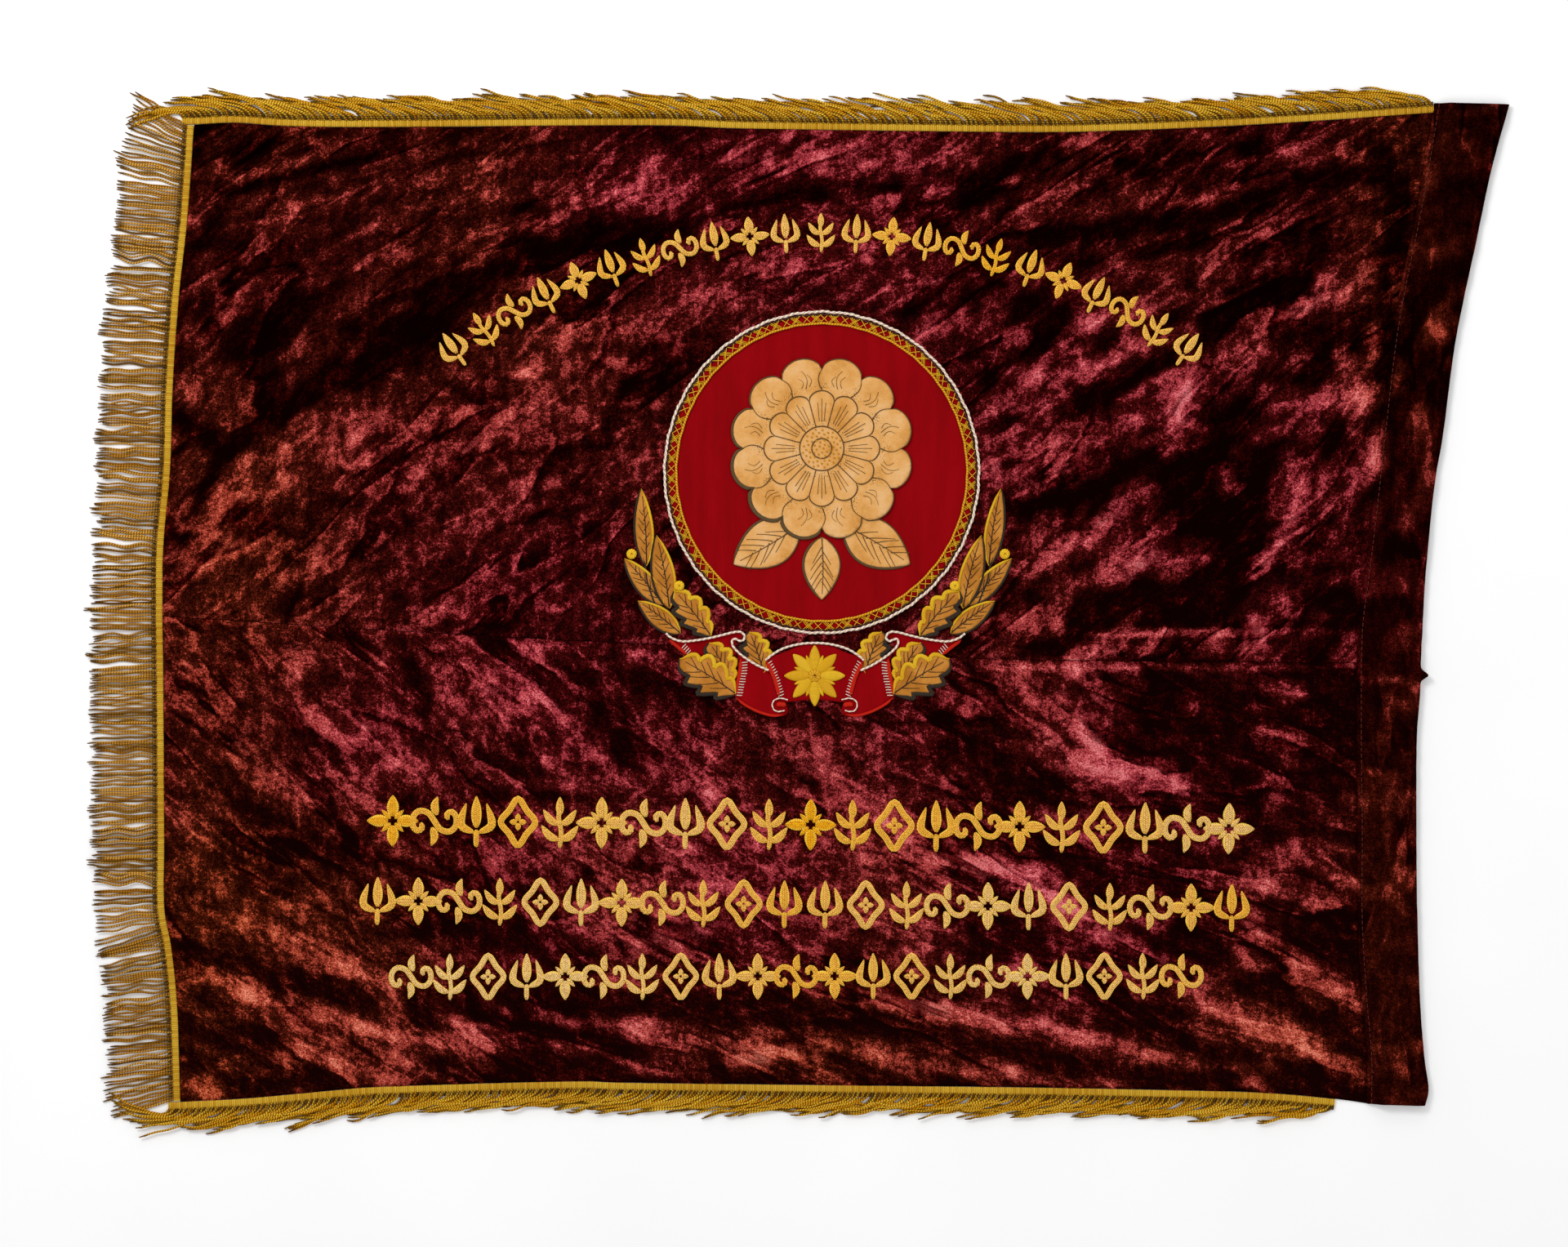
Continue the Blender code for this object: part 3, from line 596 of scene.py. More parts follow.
@dataclass(frozen=True)
class CrushedVelvet(Finish):
    """Crushed viscose pile on a cotton back.

    Most of the pile is a dark maroon. Where it was crushed flat its sheen is painted into the colour, as torn
    patches of rose with a tuft grain of painted glints, and long soft creases through them get painted shade,
    nearly black, each with a painted highlight on its rim.
    """

    roughness: float = 0.9
    specular: float = 0.0
    sheen: float = 0.02
    sheen_tint: str = "#c01830"
    patch: tuple = (24 * MM, 16 * MM)
    crease: tuple = (170 * MM, 46 * MM)
    speck: tuple = (5 * MM, 5 * MM)
    tooth: tuple = (10 * MM, 42 * MM)
    drift: tuple = (150 * MM, 110 * MM)
    tuft: tuple = (1.9 * MM, 1.9 * MM)  # Real tufts are 0.5 mm apart; drawn coarser, so that they show.
    contrast: float = 1.0
    darkest: tuple = ("#040000", "#120202")  # At the banner's top edge and at its bottom edge.
    banner_height: float = 1.1
    pile_depth: float = 0.7 * MM
    cool: tuple = (
        (0.30, "#1c0304"), (0.40, "#300606"), (0.46, "#460a0b"), (0.525, "#5a1214"), (0.555, "#8e2a32"),
        (0.62, "#ae3c46"), (0.69, "#d85860"), (0.78, "#f8868c"),
    )
    warm: tuple = (
        (0.30, "#1c0502"), (0.40, "#300c04"), (0.46, "#461608"), (0.525, "#5a200e"), (0.555, "#8e341e"),
        (0.62, "#ae482b"), (0.69, "#d86440"), (0.78, "#f89068"),
    )
    # Painted highlight: the lit rim beside each crease.
    rim: tuple = ((0.38, "#000000"), (0.455, "#ffffff"), (0.485, "#000000"))
    # Painted glint: the tuft grain darkens the tufts that catch no light.
    glint: tuple = ((0.34, "#8c7a7a"), (0.5, "#dcd4d4"), (0.62, "#ffffff"))
    # Painted shade: the dark side of each crease.
    valley: tuple = (
        (0.40, "#ffffff"), (0.47, "#ecdcdc"), (0.50, "#583638"), (0.535, "#a8787c"), (0.60, "#ffffff"),
    )
    # Painted shade: the lowest tones darkened further, where the pile turns from the light.
    turned: tuple = ((0.27, "#603236"), (0.36, "#a07478"), (0.44, "#ffffff"))

    def _grain(self, nodes: Pattern, place: Socket, size: tuple, *kind: float) -> Socket:
        """Noise over a place, so far apart along it and across it."""
        return nodes.noise(nodes.scaled(place, (1 / size[0], 1 / size[1], 1.0)), 1.0, *kind)

    def dress(self, nodes: Pattern) -> Dressing:
        """Painted sheen in torn patches, painted shade and highlight along creases, specks and tuft glints.
        """
        tone, lie, place = nodes.kept("tone"), nodes.thread, nodes.place
        tufts = self._grain(nodes, place, self.tuft, 2.0, 0.7)
        folds = self._grain(nodes, lie, self.crease, 3.0, 0.5, 0.5)
        nap = tone
        for level, reach, middle in (
            (self._grain(nodes, lie, self.patch, 9.0, 0.68, 0.5), 0.86, 0.5),
            (self._grain(nodes, place, self.speck, 4.0, 0.75, 0.3), 0.56, 0.5),
            (self._grain(nodes, place, self.tooth, 3.0, 0.5, 0.2), 0.26, 0.5),
            (tufts, 0.26, 0.5),
            (nodes.ramp(folds, *self.rim), 0.10, 0.2),
        ):
            reach *= self.contrast
            nap = nodes.maths("ADD", nap, nodes.maths("MULTIPLY_ADD", level, reach, -reach * middle))
        # Colour by the nap, whose rose end is the crushed pile's painted sheen.
        colour = nodes.blend(nodes.kept("shade"), nodes.ramp(nap, *self.cool), nodes.ramp(nap, *self.warm))
        drift = self._grain(nodes, place, self.drift)
        # Where the creases' painted shade shows.
        painted_shade_share = nodes.ramp(drift, (0.44, "#000000"), (0.56, "#ffffff"))
        shadows = ((tufts, self.glint, 1.0), (folds, self.valley, painted_shade_share), (tone, self.turned, 1.0))
        for level, stops, share in shadows:
            colour = nodes.blend(share, colour, nodes.ramp(level, *stops), "MULTIPLY")
        _, up, _ = nodes.split(place)
        low = nodes.maths("MULTIPLY_ADD", up, -1 / self.banner_height, 0.5)
        colour = nodes.blend(1.0, colour, nodes.blend(low, *self.darkest), "LIGHTEN")
        return colour, nap, self.pile_depth


@dataclass(frozen=True)
class TwistedCord(Finish):
    """Yarn laid up in plies: each a slanting bright ridge, with painted shade in the groove beside it."""

    # groove: painted shade, between the plies and on the cords that the shade level darkens.
    groove: str = "#4a3208"
    body: str = "#b88a30"
    crest: str = "#d9bb85"
    lay_length: float = 3.2 * MM
    plies: float = 1.0
    ply_depth: float = 0.35 * MM

    def dress(self, nodes: Pattern) -> Dressing:
        """Slanting plies, a tone for each cord, and painted shade in the grooves and where the shade level
        asks.
        """
        across, along, _ = nodes.split(nodes.thread)
        laid = nodes.maths("MULTIPLY", along, 1 / self.lay_length)
        phase = nodes.maths("FRACT", nodes.maths("MULTIPLY_ADD", across, self.plies, laid))
        hump = nodes.ramp(phase, (0.0, "#000000"), (0.3, "#cccccc"), (0.6, "#ffffff"), (1.0, "#000000"))
        twisted = nodes.blend(hump, self.groove, nodes.blend(nodes.kept("tone"), self.body, self.crest))
        return nodes.blend(nodes.kept("shade"), twisted, self.groove), hump, self.ply_depth


@dataclass(frozen=True)
class StitchedThread(Finish):
    """Rayon thread laid side by side across a band: it shines in bars, with painted shade in fine grooves."""

    # groove: painted shade between the threads.
    groove: str = "#7a4c05"
    body: str = "#e0a010"
    crest: str = "#f4cf50"
    pitch: float = 1.1 * MM  # Real threads are 0.4 mm apart; drawn coarser, so that they show.
    thread_depth: float = 0.25 * MM

    def dress(self, nodes: Pattern) -> Dressing:
        """Threads across the band, a little uneven, in the band's own tone."""
        _, along, _ = nodes.split(nodes.thread)
        laid = nodes.maths("MULTIPLY_ADD", along, 1 / self.pitch, nodes.noise(nodes.place, 300.0))
        hump = nodes.ramp(
            nodes.maths("PINGPONG", laid, 0.5), (0.02, "#1c1c1c"), (0.16, "#b8b8b8"), (0.5, "#ffffff"),
        )
        pale = nodes.blend(nodes.kept("tone"), self.body, self.crest)
        return nodes.blend(hump, self.groove, pale), hump, self.thread_depth


@dataclass(frozen=True)
class ChainStitch(Finish):
    """Rayon chain stitch in close rows: small bright loops, with painted shade as dark specks between them.
    """

    # speck: painted shade between the loops.
    speck: str = "#a0640e"
    body: str = "#ffb400"
    pale: str = "#ffdc94"
    rim: str = "#ffd44c"
    row: float = 2.0 * MM
    loop: float = 2.6 * MM
    loop_depth: float = 0.3 * MM

    def dress(self, nodes: Pattern) -> Dressing:
        """Loops in rows along the stroke, each row half a loop on from the next."""
        across, along, _ = nodes.split(nodes.thread)
        rows = nodes.maths("MULTIPLY", across, 1 / self.row)
        offset = nodes.maths("MULTIPLY", nodes.maths("FLOOR", rows), 0.5)
        loops = nodes.maths("MULTIPLY_ADD", along, 1 / self.loop, offset)
        both = nodes.maths("MULTIPLY", *(nodes.maths("PINGPONG", level, 0.5) for level in (rows, loops)))
        worn = nodes.maths("MULTIPLY_ADD", both, 2.6, nodes.noise(nodes.place, 520.0, 3.0, 0.7))
        hump = nodes.ramp(worn, (0.42, "#181818"), (0.56, "#a0a0a0"), (0.86, "#ffffff"))
        filled = nodes.blend(hump, self.speck, nodes.blend(nodes.kept("tone"), self.body, self.pale))
        ply = nodes.maths("PINGPONG", nodes.maths("MULTIPLY", along, 1 / self.loop), 0.5)
        shown = nodes.maths("MULTIPLY_ADD", nodes.kept("shade"), ply, 0.5)
        outline = nodes.ramp(shown, (0.55, "#000000"), (0.8, "#ffffff"))
        return nodes.blend(outline, filled, self.rim), hump, self.loop_depth


@dataclass(frozen=True)
class WoolFelt(Finish):
    """Pressed wool felt: clouded, with short loose fibres, and fine stippling where it is shaded."""

    body: str = "#d9a05c"
    cloud: str = "#e0b27c"
    deep: str = "#c4853c"
    stipple: str = "#6b4a1e"
    dot: float = 1.9 * MM
    fibre_depth: float = 0.25 * MM

    def dress(self, nodes: Pattern) -> Dressing:
        """Clouds, fibres and stippled dots."""
        place = nodes.place
        fibres = nodes.noise(place, 620.0, 4.0, 0.7, 1.5)
        mixed = nodes.maths("MULTIPLY_ADD", fibres, 0.5, nodes.noise(place, 34.0, 5.0, 0.6))
        felt = nodes.ramp(mixed, (0.55, self.deep), (0.75, self.body), (0.95, self.cloud))
        spots = {"Vector": place, "Scale": 1 / self.dot, "Randomness": 0.9}
        dots = add_node(nodes.tree, "TexVoronoi", spots).outputs["Distance"]
        stippled = nodes.maths("LESS_THAN", dots, nodes.maths("MULTIPLY", nodes.kept("shade"), 0.5))
        return nodes.blend(stippled, felt, self.stipple), mixed, self.fibre_depth


@dataclass(frozen=True)
class CottonSateen(Finish):
    """Cotton sateen: an even deep red with a faint upright slub and soft puckers that catch the light."""

    body: str = "#860208"
    lit: str = "#8c030a"
    deep: str = "#7e0207"
    pucker_depth: float = 0.4 * MM

    def dress(self, nodes: Pattern) -> Dressing:
        """Upright slubs and long faint puckers."""
        drawn = nodes.scaled(nodes.place, (1.0, 0.14, 1.0))
        slubs = nodes.noise(drawn, 700.0)
        mixed = nodes.maths("MULTIPLY_ADD", slubs, 0.35, nodes.noise(drawn, 70.0, 3.0))
        colour = nodes.ramp(mixed, (0.5, self.deep), (0.67, self.body), (0.85, self.lit))
        return colour, mixed, self.pucker_depth


@dataclass(frozen=True)
class MattFloor(Finish):
    """Painted board, with nothing to see but a very faint unevenness."""

    body: str = "#fcfcfc"
    other: str = "#ffffff"
    paint_depth: float = 0.02 * MM

    def dress(self, nodes: Pattern) -> Dressing:
        """A faint unevenness."""
        uneven = nodes.noise(nodes.place, 3.0)
        return nodes.ramp(uneven, (0.3, self.body), (0.7, self.other)), uneven, self.paint_depth


# Nearly black painted shade in its hollows, rose painted sheen where it was crushed: it glitters in torn
# patches.
VELVET = CrushedVelvet("crushed_viscose_velvet")
# The sleeve is pulled smoother by its pole: a duller, browner maroon.
SLEEVE_VELVET = CrushedVelvet("stretched_viscose_velvet", contrast=0.70)
# Top and bottom cords lie over each other and shine a full orange yellow.
YELLOW_FRINGE = TwistedCord(
    "twisted_rayon_fringe_yellow", 0.6, 0.04, body="#dc9408", crest="#ffca3a", groove="#4c2c02",
)
# The fly's cords hang straight and loose, and look tan where they have faded.
TAN_FRINGE = TwistedCord(
    "twisted_rayon_fringe_tan", 0.6, 0.04, body="#b87610", crest="#f4b650", groove="#442a04",
)
# Flat ribbed tape: a painted highlight, bright yellow, on each rib, and painted shade, olive, between them.
HEADING = StitchedThread(
    "woven_rayon_heading", 0.6, 0.1, body="#c48608", crest="#ffd848", groove="#885804", pitch=0.9 * MM,
)
# A dark zigzag that parts the tape from its cords.
BINDING_THREAD = TwistedCord("dark_binding_thread", body="#6b4a0e", crest="#8a651c", groove="#1e1403")
# Two thick soft plies: the emblem's one white line, a little yellowed.
WHITE_CORD = TwistedCord(
    "couched_white_cotton_cord", 0.65, body="#fbe4cd", crest="#fff4e6", groove="#b8967a", lay_length=6.0 * MM,
    plies=2.0,
)
# A firm cord with a low shine: the medallion's inner ring.
GOLD_CORD = TwistedCord(
    "couched_gold_rayon_cord", 0.6, 0.1, body="#dc9c14", crest="#f0bd30", groove="#a8690a",
    lay_length=3.4 * MM,
)
# Loose bright thread: it lights up the trellis and the berries.
BRIGHT_THREAD = TwistedCord(
    "bright_gold_rayon_thread", 0.6, 0.1, body="#f2b60e", crest="#ffe040", groove="#c88a08",
    lay_length=2.6 * MM,
)
# Nearly black lines, which draw the leaves' veins and the painted shadow inside the medallion's white cord.
DARK_THREAD = TwistedCord(
    "dark_brown_stem_stitch", body="#33200f", crest="#4c331a", groove="#140a04", lay_length=2.6 * MM,
)
# Sewing thread of the velvet's own colour, to be found only close by.
SEAM_THREAD = TwistedCord(
    "maroon_sewing_thread", body="#641c12", crest="#8a3420", groove="#240806", lay_length=2.6 * MM,
)
# Brown lines, which draw the petals on the sand felt.
BROWN_THREAD = TwistedCord(
    "brown_stem_stitch", body="#6b4a1e", crest="#86602c", groove="#3a2409", lay_length=2.6 * MM,
)
# Padded satin stitch: the lit yellow side of each leaf.
GOLD_SATIN = StitchedThread("gold_satin_stitch", 0.5, 0.15, body="#e4aa0c", crest="#fcd22c", groove="#b07a0a")
# The same in grey: each leaf's shadow side.
DARK_SATIN = StitchedThread(
    "dark_grey_satin_stitch", 0.7, 0.05, body="#342b24", crest="#54483c", groove="#14100c",
)
# The ribbon's folded edges, the emblem's brightest red.
SCARLET_SATIN = StitchedThread(
    "scarlet_satin_stitch", 0.6, 0.05, body="#cc1a0e", crest="#e43820", groove="#8c0c06",
)
# A soft shadow under the felt blossom.
BROWN_SATIN = StitchedThread("brown_satin_stitch", 0.6, body="#5c4420", crest="#7c5e30", groove="#2e1f0a")
# Rows of loops that turn from deep yellow to pale straw as their way turns in the light.
GOLD_CHAIN = ChainStitch("gold_chain_stitch", 0.6, 0.1)
# Matt sand colour, the emblem's lightest flat area.
SAND_FELT = WoolFelt("sand_wool_felt", 0.95, 0.02)
# Matt amber, a tone under the gold edges round it.
LEAF_FELT = WoolFelt("amber_wool_felt", 0.95, 0.02, body="#b8762e", cloud="#c88c40", deep="#9c601c")
# Smooth deep crimson, which sets the emblem off from the pile.
SATEEN = CottonSateen("crimson_cotton_sateen", 0.75, 0.03)
# White and matt, so that it shows only the banner's soft shadow.
BOARD = MattFloor("matt_white_board", 0.9, 0.1)


# The velvet: its borders, its folds and how its pile lies

FLY_LOWER = in_mm(-725, -584, -729, -468, -736, -400, -744, -354, -744, -266, -745, -95, -746, -13)
FLY_UPPER = in_mm(-746, -13, -745, 68, -737, 160, -734, 255, -727, 360, -717, 452, -709, 565)
TOP_EDGE = in_mm(
    -709, 565, -660, 567, -594, 563, -481, 562, -176, 564, -50, 560, 263, 556, 382, 558, 502, 563,
    621, 570, 749, 579,
)
BOTTOM_EDGE = in_mm(
    -725, -584, -648, -580, -549, -571, -481, -566, -265, -560, -176, -562, 263, -567, 422, -570,
    541, -573, 627, -580, 671, -586,
)
WIDTH_JOIN = in_mm(-746, -13, -390, -35, 0, -54, 263, -64, 659, -68)
SEAM_LOWER = in_mm(671, -586, 671, -529, 665, -457, 660, -370, 660, -265, 659, -165, 659, -68)
SEAM_UPPER = in_mm(659, -68, 661, -20, 669, 42, 679, 126, 689, 217, 704, 336, 730, 467, 749, 579)
SLEEVE_TOP_INNER = (0.751, 0.590)
HOIST_EDGE = in_mm(
    738, -588, 742, -568, 737, -529, 732, -465, 729, -370, 728, -309, 728, -165, 732, -104, 733, -66,
    735, -26, 739, 42, 749, 141, 759, 200, 774, 312, 798, 427, 816, 512, 837, 588,
)

# Loose folds: start and end of each soft ridge, its half width and its height.
FOLDS = [
    (-0.66, 0.20, -0.33, 0.37, 0.035, 0.0045), (-0.33, 0.37, 0.02, 0.47, 0.035, 0.0045),
    (-0.45, 0.19, -0.23, 0.28, 0.030, 0.0040), (0.24, 0.31, 0.55, 0.47, 0.030, 0.0050),
    (0.26, 0.14, 0.58, 0.33, 0.032, 0.0060), (0.30, 0.05, 0.50, 0.22, 0.025, 0.0045),
    (0.53, 0.00, 0.63, 0.20, 0.025, 0.0040), (-0.68, -0.22, -0.45, -0.44, 0.035, 0.0045),
    (-0.40, -0.10, -0.25, -0.28, 0.030, 0.0040), (-0.45, -0.44, 0.10, -0.49, 0.030, 0.0050),
    (0.02, -0.21, 0.27, -0.36, 0.032, 0.0050), (0.22, -0.08, 0.56, -0.26, 0.032, 0.0050),
    (0.10, -0.40, 0.60, -0.54, 0.030, 0.0065), (-0.05, -0.33, 0.52, -0.46, 0.025, 0.0045),
]

# Where the pile was crushed: half width, how far it turns to the light or, below 0, to the dark, and the
# points that it runs through, in millimetres.
# Above 0 a stroke paints the crushed pile's sheen into its tone; below 0 it paints shade.
STROKES = [
    (13, 0.9, 5, -153, 74, -226, 148, -290, 270, -319, 368, -388, 466, -446, 564, -505, 652, -540),
    (10, 0.9, 15, -451, 132, -466, 230, -491, 300, -495, 397, -530, 554, -544),
    (10, 0.8, -73, -540, 25, -516, 162, -544, 319, -559, 540, -569),
    (12, 0.8, 505, -368, 573, -397, 622, -442, 652, -466), (7, 0.8, 584, -280, 612, -314, 661, -329),
    (22, 0.4, 344, -182, 417, -202, 480, -241, 564, -300), (12, 0.5, 397, -295, 554, -334),
    (12, 0.6, 74, -275, 172, -300, 270, -319), (12, -0.8, 162, -358, 260, -388, 368, -466, 495, -535),
    (11, -0.9, -73, -471, 50, -486, 181, -505, 300, -540, 540, -574), (14, -0.8, 554, -363, 642, -427),
    (14, -0.8, 540, -446, 612, -486, 657, -516), (15, -0.7, 515, -202, 554, -280),
    (20, -0.7, 172, -172, 300, -216),
    (12, 0.8, -691, -321, -642, -365, -579, -395, -505, -434, -466, -463),
    (12, 0.8, -710, -429, -628, -463, -544, -488, -446, -512, -368, -521),
    (12, 0.7, -603, -527, -515, -546, -466, -565), (12, 0.7, -402, -492, -300, -483, -241, -488),
    (16, 0.8, -186, -497, -123, -516, -64, -521, 24, -537),
    (9, -1, -735, -399, -617, -434, -495, -453, -407, -472, -319, -497, -202, -521),
    (18, -0.8, -466, -380, -300, -395, -251, -414), (15, -0.9, -251, -463, -128, -468, -6, -468),
    (12, -0.5, -726, -488, -666, -516), (17, 0.8, -252, -372, -188, -401, -102, -380),
    (16, 0.7, 231, 149, 300, 166, 372, 205, 435, 239), (10, 0.5, 204, 217, 288, 239),
    (14, 0.9, 435, 178, 451, 217, 457, 251), (12, 1, 271, 36, 333, 70, 367, 104, 412, 138),
    (14, 0.7, 226, -3, 260, -20, 305, -26), (14, 0.9, 547, 200, 587, 211, 604, 239, 665, 245),
    (9, 0.8, 683, 205, 677, 155, 716, 188), (9, 0.9, 536, 36, 564, 70, 587, 115, 598, 149),
    (6, 0.6, 390, 48, 457, 54, 514, 48), (4, 0.9, 396, -34, 468, -31, 514, -34),
    (7, 0.8, 536, -14, 553, -54), (6, 0.8, 610, -9, 626, -14), (8, 0.6, 592, 54, 643, 59),
    (13, 0.9, 226, -65, 266, -87, 310, -110, 355, -166), (20, 0.5, 322, -189, 400, -200, 480, -223),
    (12, 0.5, 536, -144, 587, -166, 559, -200), (12, 0.7, 361, -115, 400, -138),
    (30, -1, 429, 166, 530, 82, 485, 14), (9, -0.8, 254, 115, 305, 121, 390, 160),
    (20, -0.9, 345, -9, 400, 14, 457, 9), (16, -0.8, 598, 14, 655, -9),
    (28, -0.8, 429, -99, 514, -144, 485, -189), (20, -0.7, 614, -76, 649, -144, 626, -200),
    (14, -0.7, 153, -115, 231, -178), (5, 0.8, 671, -121, 687, -123), (4, 0.8, 665, -87, 710, -87),
    (4, 0.6, 671, -195, 716, -200), (12, -0.8, 671, -144, 728, -155),
    (7, 0.5, 741, 545, 741, 499, 726, 420), (9, 0.7, 705, 400, 715, 317, 700, 254),
    (9, 0.4, 772, 420, 767, 369), (22, -0.9, 804, 525, 788, 447), (9, 0.4, 705, -287, 710, -393),
    (12, 0.8, -679, 111, -653, 130, -616, 137, -587, 145),
    (15, 0.9, -705, 45, -690, 75, -660, 67, -624, 75), (8, 0.7, -624, 166, -598, 185, -576, 200),
    (9, 0.7, -606, 152, -587, 159, -554, 166, -524, 196), (12, 0.8, -510, 207, -480, 226, -458, 210),
    (17, 1, -451, 148, -429, 170, -393, 188, -341, 214, -286, 236),
    (14, 0.8, -425, 214, -393, 226, -359, 236), (13, 0.8, -323, 276, -286, 302, -230, 314, -180, 339),
    (7, 0.8, -249, 292, -224, 288, -180, 276), (5, 0.8, -540, 166, -510, 166, -480, 163),
    (3.5, 1, -564, 343, -609, 280), (4, 0.8, -668, 347, -697, 310),
    (3.5, 1, -541, 109, -562, 75, -568, 35), (4, 0.8, -745, -17, -598, -21, -488, -28, -377, -39),
    (4, 0.7, 215, -72, 400, -74, 560, -73, 652, -72), (3, 0.6, 339, -36, 480, -31, 628, -32),
    (5, 0.8, -462, -6, -415, -3), (40, 0.25, -377, 89, -230, 200),
    (16, -1, -737, 226, -671, 181, -624, 214, -568, 254), (24, -0.9, -540, 273, -469, 292, -415, 336),
    (8, -0.9, -723, 71, -701, 126, -679, 174), (7, -0.8, -363, 174, -304, 181, -230, 188, -194, 185),
    (30, -0.35, -580, 126, -517, 89, -488, 35), (4, -1, -598, -13, -584, 23),
    (5, -0.9, -377, 75, -341, 93, -289, 111), (4, -0.8, -462, 111, -451, 53),
    (10, -0.7, -202, 262, -224, 207), (25, -0.4, -323, 39, -188, 49),
    (25, 0.6, -719, -81, -660, -102, -604, -63), (20, 0.8, -573, -136, -531, -157, -488, -136, -462, -179),
    (15, 0.7, -681, -145, -642, -179, -604, -209, -531, -222), (22, 0.8, -420, -72, -359, -89, -317, -63),
    (14, 0.8, -402, -114, -350, -132, -300, -106, -261, -145, -230, -179),
    (10, 0.8, -444, -196, -376, -187, -333, -209), (16, 0.5, -175, -123, -145, -157, -102, -166),
    (12, 0.6, -295, -201, -230, -209, -145, -192, -102, -218),
    (14, 0.4, -488, -295, -402, -277, -317, -295), (12, 0.7, -736, -243, -702, -277, -719, -303),
    (11, -0.9, -453, -72, -437, -123, -437, -157), (5, -0.9, -333, -106, -317, -157),
    (6, -0.9, -376, -170, -317, -201), (12, -0.9, -248, -89, -222, -149, -201, -201),
    (12, -0.6, -209, -81, -124, -102), (18, -1, -660, -222, -616, -260, -564, -277, -505, -312),
    (14, -0.7, -681, -277, -616, -316, -564, -354), (7, -0.8, -368, -222, -252, -226),
    (8, 0.6, -672, 499, -613, 514, -564, 528, -505, 538, -451, 553),
    (12, 0.4, -628, 440, -588, 465, -540, 479), (13, 0.4, -702, 381, -667, 406, -628, 430),
    (7, 0.5, -696, 313, -672, 342, -642, 381),
    (10, 0.8, -451, 493, -383, 514, -309, 528, -236, 533, -206, 523),
    (10, 0.6, -461, 465, -383, 484, -309, 484, -236, 489, -113, 493),
    (9, 0.7, -461, 411, -407, 425, -344, 444, -236, 465, -187, 474),
    (8, 0.6, -574, 376, -520, 396, -461, 416), (5, 0.7, -540, 425, -491, 450),
    (13, 0.7, -187, 528, -113, 514, -64, 533, -15, 518, 38, 509),
    (13, 0.7, -162, 337, -113, 372, -64, 357, 9, 406, 42, 401),
    (10, 0.8, -324, 308, -285, 327, -236, 332, -187, 327, -138, 308),
    (13, -1, -432, 362, -309, 406, -236, 430, -138, 440), (8, -0.9, -89, 465, -1, 484, 42, 479),
    (6, -0.8, -677, 484, -579, 509, -491, 528), (12, -0.7, -716, 406, -682, 445),
    (16, -0.9, -491, 308, -442, 347, -407, 372), (8, -0.5, -564, 455, -520, 469),
    (40, -0.3, -649, 299, -572, 366), (16, 0.6, 23, 540, 101, 519, 180, 530, 231, 545),
    (14, 0.4, 111, 457, 180, 468, 195, 452), (22, 0.35, 205, 452, 283, 473, 361, 473, 440, 468),
    (7, 0.7, 247, 499, 268, 493), (8, 0.7, 315, 540, 341, 545, 367, 530, 419, 545),
    (12, 0.5, 377, 509, 440, 515, 502, 525), (9, 0.8, 476, 478, 507, 489),
    (14, 0.8, 564, 545, 595, 530, 632, 536), (14, 0.7, 492, 426, 543, 437, 621, 457, 674, 442),
    (16, 0.7, 387, 395, 440, 400, 517, 390, 569, 416), (13, 0.7, 346, 332, 440, 358, 517, 369, 554, 384),
    (13, 0.7, 148, 322, 195, 338, 231, 317), (20, 0.5, 252, 285, 315, 317, 387, 327),
    (10, 0.8, 273, 265, 356, 280, 419, 306, 466, 327), (14, 0.8, 434, 265, 492, 291, 543, 306),
    (16, 1, 543, 332, 595, 348, 647, 374, 679, 400), (12, 0.8, 637, 296, 658, 265, 689, 317),
    (14, 0.4, 75, 369, 127, 374, 180, 379), (12, -1, 195, 468, 242, 509, 304, 536),
    (7, -0.8, 23, 499, 127, 489, 200, 499),
    (11, -1, 283, 431, 361, 442, 455, 452, 517, 468, 595, 499, 689, 509), (9, -1, 397, 411, 481, 431),
    (9, -1, 476, 332, 522, 353, 564, 374), (8, -0.9, 221, 270, 273, 296, 315, 332),
    (9, -0.9, 356, 244, 440, 285), (14, -0.9, 575, 369, 611, 405, 621, 442),
    (12, -0.8, 689, 525, 715, 473, 694, 420), (8, -0.8, 466, 509, 543, 545),
    (8, -0.8, 127, 343, 195, 358, 242, 379), (14, -0.7, 569, 265, 621, 285, 611, 317),
    (7, -0.9, 694, 343, 694, 254),
]

# Which way the crushed pile of each part runs, in degrees from +X, at some places.
COMBS = {
    "upper": [
        (-0.649, 0.231, 48), (-0.457, 0.347, 26), (-0.265, 0.433, 16), (0.023, 0.491, 2), (0.311, 0.5, 8),
        (0.551, 0.519, 14), (0.311, 0.347, 34), (0.263, 0.135, 50), (0.455, 0.279, 42), (0.599, 0.375, 36),
        (0.647, 0.135, 70), (-0.553, 0.135, 48), (-0.265, 0.231, 40), (-0.400, 0.087, 45), (0.503, 0.039, 48),
        (-0.457, 0.000, 20), (-0.697, 0.471, 38), (-0.505, 0.5, 20), (0.350, 0.020, 40),
    ],
    "lower": [
        (-0.649, -0.153, -42), (-0.553, -0.249, -42), (-0.457, -0.393, -36), (-0.265, -0.153, -42),
        (-0.073, -0.153, -45), (0.023, -0.249, -36), (0.023, -0.393, -15), (0.263, -0.201, -40),
        (0.407, -0.153, -25), (0.503, -0.249, -14), (0.311, -0.393, -18), (0.503, -0.517, -20),
        (0.263, -0.517, -18), (-0.169, -0.517, -10), (-0.649, -0.489, -24), (0.599, -0.393, -30),
        (-0.350, -0.240, -42),
    ],
}


